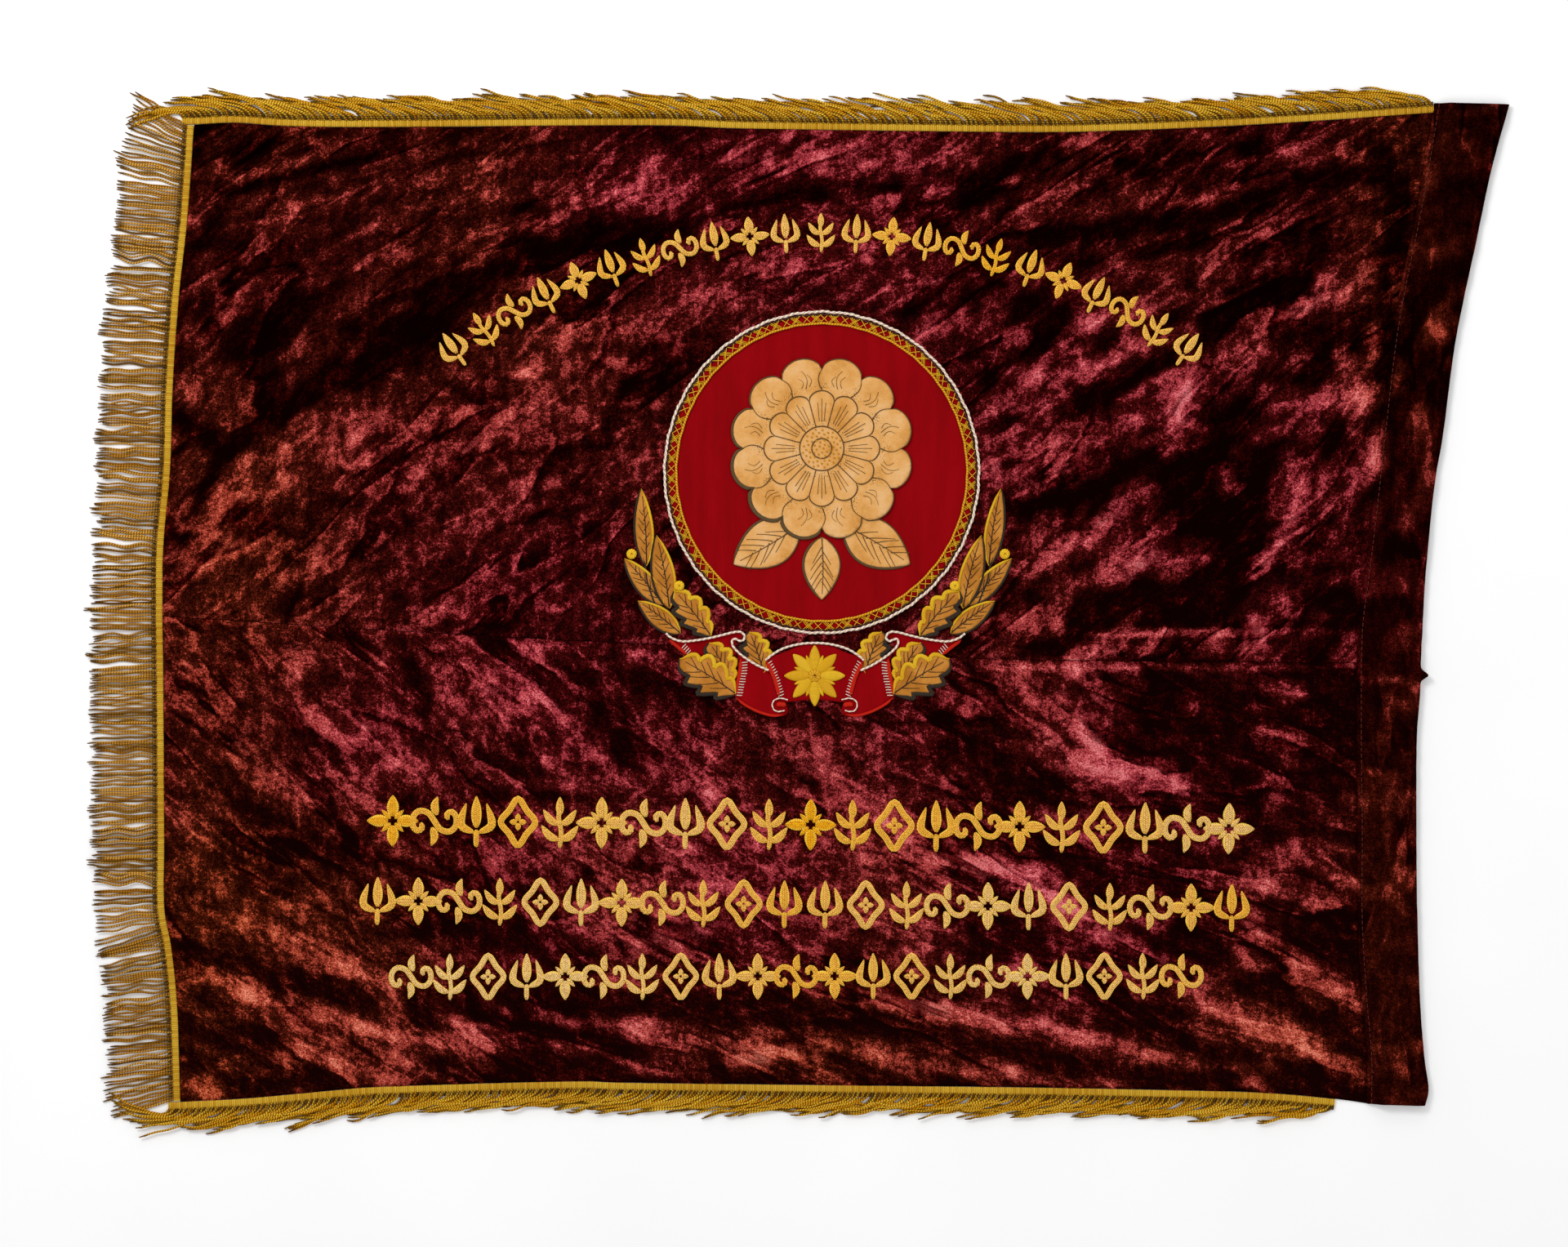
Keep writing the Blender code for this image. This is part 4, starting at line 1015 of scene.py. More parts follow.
def ridge(
    x: Array, y: Array, x0: float, y0: float, x1: float, y1: float, half_width: float,
) -> tuple[Array, Array]:
    """A soft ridge from one point to another.

    Args:
        x, y: Where it is asked for.
        x0, y0, x1, y1: Its ends.
        half_width: Its half width.

    Returns:
        Its height from 0 to 1, and the share of its length beside each point.
    """
    run_x, run_y = x1 - x0, y1 - y0
    share = np.clip(((x - x0) * run_x + (y - y0) * run_y) / (run_x**2 + run_y**2), 0, 1)
    square = (x - x0 - share * run_x) ** 2 + (y - y0 - share * run_y) ** 2
    return np.exp(-square / half_width**2), share


def blurred(grid: Array, reach: float) -> Array:
    """A grid smoothed by so many of its own steps, and scaled to a spread of 1."""
    rows, columns = (np.fft.fftfreq(size)[:, None] for size in grid.shape)
    keep = np.exp(-2 * (np.pi * reach) ** 2 * (rows**2 + columns.T**2))
    smooth = np.fft.ifft2(np.fft.fft2(grid) * keep).real
    return (smooth - smooth.mean()) / smooth.std()


def surface_of(slope_x: Array, slope_y: Array, step: float) -> Array:
    """The surface on a grid whose slopes come nearest to those given.

    Args:
        slope_x, slope_y: The slopes wanted at each place.
        step: How far apart the places lie.

    Returns:
        The surface's height at each place.
    """
    pull = np.zeros_like(slope_x)
    across = (slope_x[:, :-1] + slope_x[:, 1:]) / 2 * step
    up = (slope_y[:-1] + slope_y[1:]) / 2 * step
    pull[:, :-1] -= across
    pull[:, 1:] += across
    pull[:-1] -= up
    pull[1:] += up
    whole = np.block([[pull, pull[:, ::-1]], [pull[::-1], pull[::-1, ::-1]]])
    rows, columns = (np.cos(2 * np.pi * np.fft.fftfreq(size)) for size in whole.shape)
    spread = 4 - 2 * rows[:, None] - 2 * columns
    spread[0, 0] = 1.0
    found = np.fft.ifft2(np.fft.fft2(whole) / spread).real
    return found[: pull.shape[0], : pull.shape[1]]


@dataclass
class Nap:
    """How the crushed pile lies all over the cloth: its tone of painted sheen and shade, its cast and its low
    relief.

    Attributes:
        step: How far apart the places lie that it is worked out for.
        low: The lowest x and y that it covers.
        high: The highest.
        plain_tone: How light it looks where nothing crushed it.
        stroke_reach: How far a stroke turns its tone.
        lively_stroke_reach: How much further it does so in lively parts.
        streak_reach: How far its streaks turn its tone.
        lively_streak_reach: How much further they do so in lively parts.
    """

    step: float = 2.5 * MM
    low: tuple[float, float] = (-0.80, -0.63)
    high: tuple[float, float] = (0.87, 0.63)
    plain_tone: float = 0.462
    stroke_reach: float = 0.120
    lively_stroke_reach: float = 0.110
    streak_reach: float = 0.020
    lively_streak_reach: float = 0.046

    def __post_init__(self) -> None:
        """Lays the pile: listed strokes, and streaks that follow the combs."""
        columns = np.arange(self.low[0], self.high[0], self.step)
        rows = np.arange(self.low[1], self.high[1], self.step)
        self.x, self.y = np.meshgrid(columns, rows)
        chance = np.random.default_rng(SEED)
        ways = {part: self._comb(combs) for part, combs in COMBS.items()}
        self.lies = {
            part: (surface_of(across, up, self.step), surface_of(-up, across, self.step))
            for part, (across, up) in ways.items()
        }
        upper = self.y > np.interp(self.x, *WIDTH_JOIN.T)
        self.way = [np.where(upper, *pair) for pair in zip(ways["upper"], ways["lower"])]
        coarse, fine, cloudy = (chance.standard_normal(self.x.shape) for _ in range(3))
        self.broad = self._streaks(blurred(coarse, 3.2), 13)
        self.small = self._streaks(blurred(fine, 1.2), 5)
        self.cloud = blurred(cloudy, 30)
        seam = np.vstack([SEAM_LOWER, SEAM_UPPER])
        self.sleeve = ease((self.x - np.interp(self.y, seam[:, 1], seam[:, 0])) / 0.004)
        self.tones = self._tones()
        self.casts = self._casts()

    def _strokes(self) -> Array:
        """How far the strokes turn the pile's tone: to painted shade below 0 and to painted sheen above it.
        """
        total = np.zeros_like(self.x)
        for half_width, turn, *spots in STROKES:
            ends = [MM * spot for spot in spots]
            starts = range(0, len(ends) - 2, 2)
            runs = [ridge(self.x, self.y, *ends[at : at + 4], half_width * MM)[0] for at in starts]
            total += turn * np.maximum.reduce(runs)
        return np.clip(total, -1.1, 1.1)

    def _tones(self) -> Array:
        """How light the pile looks at each place."""
        x, y = self.x, self.y
        lively = past(x, 0.15, 0.20) * past(y, 0.42, -0.10) + 0.9 * past(y, -0.38, -0.10)
        lively = np.clip(lively, 0, 1)
        dim = (0.040 * past(x, 0.10, -0.35) + 0.044 * past(x, 0.10, 0.2)) * past(y, 0.22, 0.14)
        under = np.exp(-(((x + 0.05) / 0.30) ** 2) - ((y + 0.33) / 0.10) ** 2)
        stroked = (self.stroke_reach + self.lively_stroke_reach * lively) * self._strokes()
        streaked = (self.streak_reach + self.lively_streak_reach * lively) * self.broad
        tones = (
            self.plain_tone - 0.044 * lively + stroked * (1 - 0.55 * self.sleeve) + streaked
            + 0.010 * self.small - 0.016 * self.sleeve - dim + 0.075 * under
        )
        least = 0.340 + 0.050 * past(y, 0.10, -0.35) + 0.020 * self.sleeve
        return np.maximum(tones, least)

    def _casts(self) -> Array:
        """How warm the pile's red is: most so in the low fly corner, at both sides and round the pole."""
        x, y = self.x, self.y
        warm = np.maximum.reduce([
            past(x, -0.25, -0.40) * past(y, -0.10, -0.30),
            0.5 * past(x, -0.45, -0.25),
            0.6 * past(x, 0.60, 0.12),
            0.5 * past(y, -0.38, -0.15),
            0.45 * past(x, -0.05, -0.40) * past(y, 0.15, 0.20),
            0.55 * self.sleeve,
        ])
        return np.clip(warm + 0.14 * self.cloud + 0.06, 0, 1)

    def _comb(self, combs: Sequence[tuple[float, float, float]]) -> tuple[Array, Array]:
        """The way of the pile at each place, blended from the combs."""
        cosine, sine = np.zeros_like(self.x), np.zeros_like(self.x)
        for x, y, degrees in combs:
            weight = 1 / ((self.x - x) ** 2 + (self.y - y) ** 2 + 0.004) ** 1.5
            cosine += weight * math.cos(math.radians(2 * degrees))
            sine += weight * math.sin(math.radians(2 * degrees))
        turn = np.arctan2(sine, cosine) / 2
        return np.cos(turn), np.sin(turn)

    def _streaks(self, grid: Array, reach: int) -> Array:
        """A grid smeared along the way of the pile, by so many steps to each side."""
        rows, columns = np.indices(grid.shape).astype(float)
        total = grid.copy()
        for sign in (-1, 1):
            row, column = rows.copy(), columns.copy()
            for number in range(1, reach + 1):
                at = self._cell(row, column, grid.shape)
                row += sign * self.way[1][at]
                column += sign * self.way[0][at]
                total += grid[self._cell(row, column, grid.shape)] * (1 - number / (reach + 1))
        return (total - total.mean()) / total.std()

    @staticmethod
    def _cell(row: Array, column: Array, shape: tuple[int, int]) -> tuple[Array, Array]:
        """The nearest cell of the grid."""
        return (
            np.clip(np.rint(row), 0, shape[0] - 1).astype(int),
            np.clip(np.rint(column), 0, shape[1] - 1).astype(int),
        )

    def lie(self, part: str, x: Array, y: Array) -> Array:
        """How far each place lies along and across the pile of a width of velvet."""
        return np.stack([self.read(grid, x, y) for grid in self.lies[part]], -1)

    def read(self, grid: Array, x: Array, y: Array) -> Array:
        """A grid's values at any places, blended from the four cells round each."""
        column = np.clip((np.asarray(x) - self.low[0]) / self.step, 0, grid.shape[1] - 1.001)
        row = np.clip((np.asarray(y) - self.low[1]) / self.step, 0, grid.shape[0] - 1.001)
        left, below = column.astype(int), row.astype(int)
        across, up = column - left, row - below
        lower = grid[below, left] * (1 - across) + grid[below, left + 1] * across
        upper = grid[below + 1, left] * (1 - across) + grid[below + 1, left + 1] * across
        return lower * (1 - up) + upper * up


@dataclass
class Cloth:
    """The velvet field: two widths of velvet on their folds, joined across the middle.

    Attributes:
        nap: How its pile lies.
        pitch: How far apart the points of its mesh lie.
        relief: The height of its crushed creases.
        flat_radius: How far round the emblem the stitching keeps it flat.
    """

    nap: Nap
    pitch: float = 4.7 * MM
    relief: float = 0.55 * MM
    flat_centre: tuple[float, float] = (EMBLEM_X, 0.105)
    flat_radius: float = 0.300
    flat_ease: float = 0.070
    edge_share: float = 0.09
    groove: float = 0.7 * MM

    def __post_init__(self) -> None:
        """Draws the borders."""
        up = np.array([0.0, SEWN_GAP / 2])
        upper, lower = (FLY_UPPER, SEAM_UPPER, WIDTH_JOIN), (FLY_LOWER, SEAM_LOWER, WIDTH_JOIN)
        self.fly_upper, self.seam_upper, self.join_upper = (Line(smooth_points(edge + up)) for edge in upper)
        self.fly_lower, self.seam_lower, self.join_lower = (Line(smooth_points(edge - up)) for edge in lower)
        self.top, self.bottom = Line(smooth_points(TOP_EDGE)), Line(smooth_points(BOTTOM_EDGE))
        self.fly = Line(np.vstack([self.fly_lower.fine, self.fly_upper.fine]))
        self.seam = Line(np.vstack([self.seam_lower.fine, self.seam_upper.fine]))

    def under(self, x: Array, y: Array) -> Array:
        """How high the folds lift the velvet's back at any places."""
        x, y = np.asarray(x, float), np.asarray(y, float)
        lift = np.zeros_like(x)
        for x0, y0, x1, y1, half_width, height in FOLDS:
            level, share = ridge(x, y, x0, y0, x1, y1, half_width)
            lift += height * ease(np.minimum(share, 1 - share) * 4 + 0.35) * level
        reach = np.hypot(x - self.flat_centre[0], y - self.flat_centre[1])
        lift *= ease((reach - self.flat_radius) / self.flat_ease)
        left, right = self.fly.x_at(y), self.seam.x_at(y)
        middle, high, low = self.join_upper.y_at(x), self.top.y_at(x), self.bottom.y_at(x)
        aside = np.clip((x - left) / (right - left), 0, 1)
        outer = np.where(y > middle, (high - y) / (high - middle), (y - low) / (middle - low))
        inner = np.minimum(aside, 1 - aside)
        return lift * ease(inner / self.edge_share) * ease(outer / (2 * self.edge_share))

    def face(self, x: Array, y: Array) -> Array:
        """The height of the velvet's face at any places."""
        x, y = np.asarray(x, float), np.asarray(y, float)
        calm = ease((np.hypot(x - EMBLEM_X, y - 0.075) - 0.205) / 0.06)
        crush = 0.6 * self.nap.read(self.nap.small, x, y) + 0.4 * self.nap.read(self.nap.broad, x, y)
        sunk = self.groove * np.exp(-(((y - self.join_upper.y_at(x)) / (3 * MM)) ** 2)) * calm
        return self.under(x, y) + VELVET_THICK + self.relief * crush * (0.15 + 0.85 * calm) - sunk

    def _panel(self, name: str, borders: tuple[Line, Line, Line, Line]) -> bpy.types.Object:
        """Makes one width of velvet inside its fly, sleeve, low and high borders."""
        left, right, low, high = borders
        columns = round(high.length / self.pitch)
        rows = round(left.length / self.pitch)
        u, v = np.linspace(0, 1, columns + 1), np.linspace(0, 1, rows + 1)
        flat = (
            left.at(v)[:, None] * (1 - u)[None, :, None] + right.at(v)[:, None] * u[None, :, None]
            + low.at(u)[None] * (1 - v)[:, None, None] + high.at(u)[None] * v[:, None, None]
        )
        corners = [left.at(0.0), right.at(0.0), left.at(1.0), right.at(1.0)]
        weights = [np.outer(1 - v, 1 - u), np.outer(1 - v, u), np.outer(v, 1 - u), np.outer(v, u)]
        for corner, weight in zip(corners, weights):
            flat = flat - corner * weight[..., None]
        x, y = flat[..., 0], flat[..., 1]
        inset = np.minimum.reduce([
            *np.broadcast_arrays(np.arange(rows + 1)[:, None], np.arange(columns + 1)[None]),
            *np.broadcast_arrays(np.arange(rows, -1, -1)[:, None], np.arange(columns, -1, -1)[None]),
        ])
        rolled = np.choose(np.minimum(inset, 2), [0.9 * MM, 0.15 * MM, 0.0])
        top = np.stack([x, y, self.face(x, y) - rolled], -1)
        bottom = np.stack([x, y, self.under(x, y)], -1)
        threads = self.nap.lie(name.split("_")[1], x, y)
        shape = Shape(name)
        levels = [self.nap.read(grid, x, y) for grid in (self.nap.tones, self.nap.casts)]
        shape.panel(top, bottom, threads, *levels)
        return BENCH.lay(shape, VELVET, "velvet", [name.removesuffix("_pile")])

    def make(self) -> None:
        upper = self._panel("velvet_upper_pile", (self.fly_upper, self.seam_upper, self.join_upper, self.top))
        lower = self._panel(
            "velvet_lower_pile", (self.fly_lower, self.seam_lower, self.bottom, self.join_lower),
        )
        self._join()

    def _join(self) -> None:
        """The turned-in pile that fills the groove where the two widths meet."""
        shares = np.linspace(0, 1, 400)
        flat = (self.join_upper.at(shares) + self.join_lower.at(shares)) / 2
        height = self.face(flat[:, 0], flat[:, 1]) - 1.3 * MM
        shape = Shape("velvet_join")
        # Its low tone, nearly black, is the groove's painted shade.
        shape.tube(flat, height, round_ring(0.6 * MM), 0.36)
        BENCH.lay(shape, VELVET, "velvet")


@dataclass
class Sleeve:
    """The pole sleeve: velvet folded double, sewn down along one line and open at both ends.

    Attributes:
        cloth: The field that it is sewn to.
        hollow: How far it stands open.
        margin: The width of the sewn-down margin.
        pinch_y: Where a fold is pinched at the outer edge.
        crease_height: How high the creases round the pinch are.
        crease_span: How far along the sleeve they reach.
        crush_height: How high the crushed pile's relief is.
        stitch_pitch: How far apart the running stitches are.
    """

    cloth: Cloth
    hollow: float = 6.8 * MM
    margin: float = 7 * MM
    shoulder: float = 9 * MM
    pinch_y: float = -0.081
    pinch_reach: float = 9 * MM
    pinch_half_width: float = 5 * MM
    crease_height: float = 0.9 * MM
    crease_span: float = 0.05
    crush_height: float = 0.45 * MM
    stitch_pitch: float = 7 * MM
    stations: int = 250

    def _section(self, width: Array, puff: Array) -> tuple[Array, Array]:
        """The outer and the inner loop of the sleeve cut across, for each station, as (across, up)."""
        wall, lip, rise = VELVET_THICK, self.margin, self.shoulder
        roof = wall + self.hollow * puff
        outer = [
            (0, 0), (0.25 * width, 0), (0.5 * width, 0), (0.75 * width, 0), (width - 1.4 * wall, 0),
            (width, 0.5 * roof), (width - wall, roof), (width - rise, roof + wall),
            (0.75 * width, roof + wall), (0.5 * width, roof + wall), (0.3 * width, roof + wall),
            (lip + rise, roof + wall), (lip, 2.3 * wall), (0, 1.6 * wall),
        ]
        inner = [
            (lip + rise, wall), (0.3 * width, wall), (0.5 * width, wall), (0.75 * width, wall),
            (width - 1.9 * wall, wall), (width - wall, 0.5 * roof), (width - 1.9 * wall, 0.93 * roof),
            (width - rise - 0.4 * wall, roof), (0.75 * width, roof), (0.5 * width, roof), (0.3 * width, roof),
            (lip + rise + 0.5 * wall, roof), (lip + 1.6 * wall, 1.45 * wall), (lip - 0.5 * wall, 1.15 * wall),
        ]
        return tuple(
            np.stack([np.stack(np.broadcast_arrays(a, b, width)[:2], -1) for a, b in loop], 1)
            for loop in (outer, inner)
        )

    def make(self) -> None:
        """Makes the sleeve and the row of stitches that holds it down."""
        seam = Line(np.vstack([self.cloth.seam.fine + (SEWN_GAP, 0.0), [SLEEVE_TOP_INNER]]))
        hoist = Line(smooth_points(HOIST_EDGE))
        pinch_share = (self.pinch_y - seam.fine[0, 1]) / (seam.fine[-1, 1] - seam.fine[0, 1])
        near = pinch_share + np.linspace(-0.014, 0.014, 15)
        shares = np.sort(np.concatenate([np.linspace(0, 1, self.stations), near]))
        start, end = seam.at(shares), hoist.at(shares)
        pinch = np.exp(-(((start[:, 1] - self.pinch_y) / self.pinch_half_width) ** 2))
        across = unit(end - start)
        width = np.linalg.norm(end - start, axis=1) + self.pinch_reach * pinch
        sway = sum(
            np.sin(2 * np.pi * shares * cycles + cycles * 1.7) / math.sqrt(cycles)
            for cycles in (5, 11, 19, 33)
        )
        puff = 1.0 + 0.035 * sway + 0.12 * pinch
        outer, inner = self._section(width, puff)
        loops = []
        for raw, is_outer in ((outer, True), (inner, False)):
            fine = np.stack([smooth_points(loop, 3, closed=True) for loop in raw])
            fine[..., 1] = np.maximum(fine[..., 1], 0.0 if is_outer else VELVET_THICK)
            spots = start[:, None] + across[:, None] * fine[..., :1]
            lift = self.cloth.nap.read(self.cloth.nap.small, spots[..., 0], spots[..., 1])
            fading = np.exp(-(((spots[..., 1] - self.pinch_y) / self.crease_span) ** 2))
            creases = self.crease_height * np.sin(spots[..., 1] * 260 + 14 * spots[..., 0]) * fading
            upper = fine[..., 1] > 2 * VELVET_THICK
            raised = fine[..., 1] + np.where(upper, self.crush_height * lift, 0.0)
            loops.append(np.dstack([spots, raised + np.where(upper, creases, 0.0)]))
        self._tube(*loops)
        self._stitches(start, across)

    def _tube(self, outer: Array, inner: Array) -> None:
        """Joins the outer and inner walls and both open ends into one closed cloth."""
        rows, sides = outer.shape[:2]
        index = np.arange(rows * sides).reshape(rows, sides)
        nxt = np.roll(index, -1, axis=1)
        skin = np.stack([index[:-1], nxt[:-1], nxt[1:], index[1:]], -1).reshape(-1, 4)
        lining = skin[:, ::-1] + rows * sides
        first, last = index[0], index[-1]
        foot = np.stack([first, first + rows * sides, nxt[0] + rows * sides, nxt[0]], -1)
        head = np.stack([last, nxt[-1], nxt[-1] + rows * sides, last + rows * sides], -1)
        faces = np.vstack([skin, lining, foot, head])
        points = np.vstack([outer.reshape(-1, 3), inner.reshape(-1, 3)])
        nap = self.cloth.nap
        shape = Shape("pole_sleeve_pile")
        lie = points[:, 1::-1] + (0.0, 2.0)
        levels = [nap.read(grid, points[:, 0], points[:, 1]) for grid in (nap.tones, nap.casts)]
        shape.add(points, faces.tolist(), lie[faces.ravel()], *levels)
        piece = BENCH.lay(shape, SLEEVE_VELVET, "velvet", ["pole_sleeve"])

    def _stitches(self, start: Array, across: Array) -> None:
        """A row of small running stitches along the sewn-down margin."""
        line = Line(start + across * (0.55 * self.margin))
        count = round(line.length / self.stitch_pitch)
        shape = Shape("pole_sleeve_stitches")
        for number in range(count):
            shares = (number + np.linspace(0.18, 0.82, 5)) / count
            flat = line.at(shares)
            height = 1.95 * VELVET_THICK + 0.5 * MM * np.sin(np.linspace(0, np.pi, 5))
            shape.tube(flat, height, round_ring(0.45 * MM, 5), 0.4)
        BENCH.lay(shape, SEAM_THREAD, "velvet")


# Fringe


@dataclass(frozen=True)
class Tuft:
    """What the cords of one tuft share.

    Attributes:
        size: How many cords it has.
        lean: How much further than its neighbours it leans, in degrees.
        wave: How much it waves, in degrees.
        phase: Where its wave starts.
        longer: How much longer than the others its cords are, as a share.
    """

    size: int
    lean: float
    wave: float
    phase: float
    longer: float


@dataclass
class Fringe:
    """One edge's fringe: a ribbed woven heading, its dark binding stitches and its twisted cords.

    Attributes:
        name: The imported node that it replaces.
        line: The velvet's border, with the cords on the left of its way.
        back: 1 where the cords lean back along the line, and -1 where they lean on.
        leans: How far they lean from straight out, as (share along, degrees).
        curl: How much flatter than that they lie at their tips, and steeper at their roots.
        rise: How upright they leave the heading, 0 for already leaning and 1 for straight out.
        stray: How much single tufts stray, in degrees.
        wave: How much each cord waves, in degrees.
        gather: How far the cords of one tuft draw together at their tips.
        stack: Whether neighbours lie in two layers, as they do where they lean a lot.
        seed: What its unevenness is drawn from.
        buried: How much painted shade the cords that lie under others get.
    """

    name: str
    line: Line
    back: int
    leans: tuple
    curl: float
    stray: float
    wave: float
    gather: float
    stack: bool
    seed: int
    rise: float = 0.55
    pitch: float = 3.15 * MM
    cord_radius: float = 1.3 * MM
    cord_length: float = 78 * MM
    gimp_width: float = 8.2 * MM
    buried: float = 0.55
    rib_pitch: float = 2.6 * MM
    stations: int = 13

    def _heading(self) -> Shape:
        """The woven band, ribbed across."""
        count = round(self.line.length / self.rib_pitch)
        shares = np.arange(4 * count + 1) / (4 * count)
        swell = np.tile([1.0, 1.0, 0.86, 0.82], count + 1)[: len(shares)]
        uneven = np.array([wobble(number // 4, self.seed) for number in range(len(shares))])
        half = self.gimp_width / 2 * (0.985 + 0.02 * swell) + 0.12 * MM * uneven
        tall = HEADING_THICK * (0.98 * swell + 0.03 * uneven)
        middle = self.line.at(shares) + self.line.outward(shares) * (SEWN_GAP + self.gimp_width / 2)
        section = np.array([
            (1, 0.12), (0.97, 0.7), (0.8, 1), (0.3, 1.06), (-0.3, 1.06), (-0.8, 1), (-0.97, 0.7), (-1, 0.12),
        ])
        rings = np.stack([section[:, 0] * half[:, None], section[:, 1] * tall[:, None]], -1)
        # Painted highlight on each rib's top and painted shade in the dips between the ribs.
        lit = np.tile([1.0, 0.95, 0.1, 0.5], count + 1)[: len(shares)]
        tone = lit * (0.72 + 0.5 * uneven + 0.25 * np.sin(shares * 40 + self.seed))
        shape = Shape(f"{self.name}_heading")
        shape.tube(middle, 0.0, rings, np.clip(tone, 0, 1), by_width=True)
        return shape

    def _binding(self) -> Shape:
        """Dark zigzag stitches that bind the cords to the heading's outer edge."""
        count = round(self.line.length / self.rib_pitch)
        shape = Shape(f"{self.name}_binding")
        inner, outer = SEWN_GAP + self.gimp_width - 0.4 * MM, HEADING_WIDTH - 0.3 * MM
        shares = np.linspace(0, 1, count + 1)
        backing = self.line.at(shares) + self.line.outward(shares) * (inner + outer) / 2
        flat = round_ring(1.0, 8) * (0.5 * (outer - inner), 0.3 * MM)
        shape.tube(backing, 0.4 * MM, flat, 0.2, by_width=True)
        for number in range(count):
            middle = (number + 0.5) / count
            uneven = wobble(number, self.seed + 4)
            lean = 0.35 * self.rib_pitch / self.line.length
            for begin, end, sign in ((inner, outer, 1), (outer, inner, -1)):
                shares = middle + sign * lean * np.array([-1, 0, 1]) + 0.25 * lean * uneven
                reach = np.array([begin, (begin + end) / 2, end])
                flat = self.line.at(shares) + self.line.outward(shares) * reach[:, None]
                height = np.array([0.75, 1.28, 0.75]) * HEADING_THICK + 0.15 * MM * (sign > 0)
                shape.tube(flat, height, round_ring(0.45 * MM, 3), 0.4 + 0.4 * uneven)
        return shape

    def _lean(self, share: float) -> float:
        """How many degrees a cord leans at a share along the edge."""
        return float(np.interp(share, *zip(*self.leans)))

    def _cords(self) -> Shape:
        """All the twisted cords of this edge, tuft by tuft."""
        chance = np.random.default_rng(self.seed)
        count = round(self.line.length / self.pitch)
        shape = Shape(f"{self.name}_cords")
        sizes = []
        while sum(sizes) < count:
            sizes.append(int(chance.integers(2, 7)))
        number = 0
        for size in sizes:
            tuft = Tuft(
                size, self.stray * chance.standard_normal(), self.wave * chance.standard_normal(),
                chance.uniform(0, 2 * np.pi), chance.normal(0, 0.03),
            )
            for place in range(min(size, count - number)):
                self._cord(shape, chance, tuft, place, number, count)
                number += 1
        return shape

    def _cord(
        self, shape: Shape, chance: np.random.Generator, tuft: Tuft, place: int, number: int, count: int,
    ) -> None:
        """Adds one cord.

        Args:
            shape: What it is added to.
            chance: What its unevenness is drawn from, always in the same order.
            tuft: What it shares with its tuft.
            place: Its place in the tuft.
            number: Its number along the edge.
            count: How many cords the edge has.
        """
        steps = np.linspace(0, 1, self.stations)
        share = (number + 0.5 + 0.18 * chance.standard_normal()) / count
        out = self.line.outward(share)
        along = np.array([out[1], -out[0]])
        own_stray, own_length = (1.1, 0.05) if self.stack else (0.3, 0.022)
        lean = self._lean(share) + tuft.lean + own_stray * self.stray * chance.standard_normal()
        length = self.cord_length * (1 + tuft.longer + own_length * chance.standard_normal())
        wave = tuft.wave * np.sin(2 * np.pi * steps * 1.6 + tuft.phase)
        wave += 0.7 * self.wave * np.sin(2 * np.pi * steps * 2.3 + chance.uniform(0, 6.28))
        rooted = self.rise * np.exp(-steps / 0.09)
        turn = np.radians(lean * (1 - rooted) + self.curl * (2 * steps - 1) + wave)
        ways = np.cos(turn)[:, None] * out - self.back * np.sin(turn)[:, None] * along
        runs = ways * (length / (self.stations - 1))
        root = self.line.at(share) + out * (SEWN_GAP + self.gimp_width - 0.8 * MM)
        flat = root + np.concatenate([[[0.0, 0.0]], np.cumsum(runs[:-1], axis=0)])
        drawn = (place - (tuft.size - 1) / 2) * self.pitch * self.gather
        flat -= along * (drawn * ease(steps * 1.25))[:, None]
        level = (number % 2) * 1.9 if self.stack else 1.8 * float(chance.random() < 0.34)
        level += 0.4 * chance.random()
        slim = 1.0 if self.stack else 0.98
        radius = self.cord_radius * slim * (1 + 0.05 * chance.standard_normal()) * (1.02 - 0.2 * steps**3)
        height = radius + level * self.cord_radius * ease(steps * 5 + 0.2) + 0.15 * MM
        tone = float(np.clip(chance.normal(0.5, 0.34), 0, 1))
        # Painted shade on cords that lie under others and at the roots; the tips are darker too.
        buried = self.buried * float(chance.random() < 0.4) * (number % 2 == 0) + 0.10 * chance.random()
        shade = np.clip(buried + 0.7 * (steps > 0.9) + 0.35 * (steps < 0.1), 0, 0.9)
        rings = round_ring(radius * np.where(steps > 0.99, 0.55, 1.0))
        shape.tube(flat, height, rings, tone, shade)

    def make(self, cord: Finish) -> None:
        """Makes the heading, its binding and the cords."""
        BENCH.lay(self._heading(), HEADING, "gold_yarn", [self.name])
        BENCH.lay(self._binding(), BINDING_THREAD, "gold_yarn")
        BENCH.lay(self._cords(), cord, "gold_yarn", [self.name])


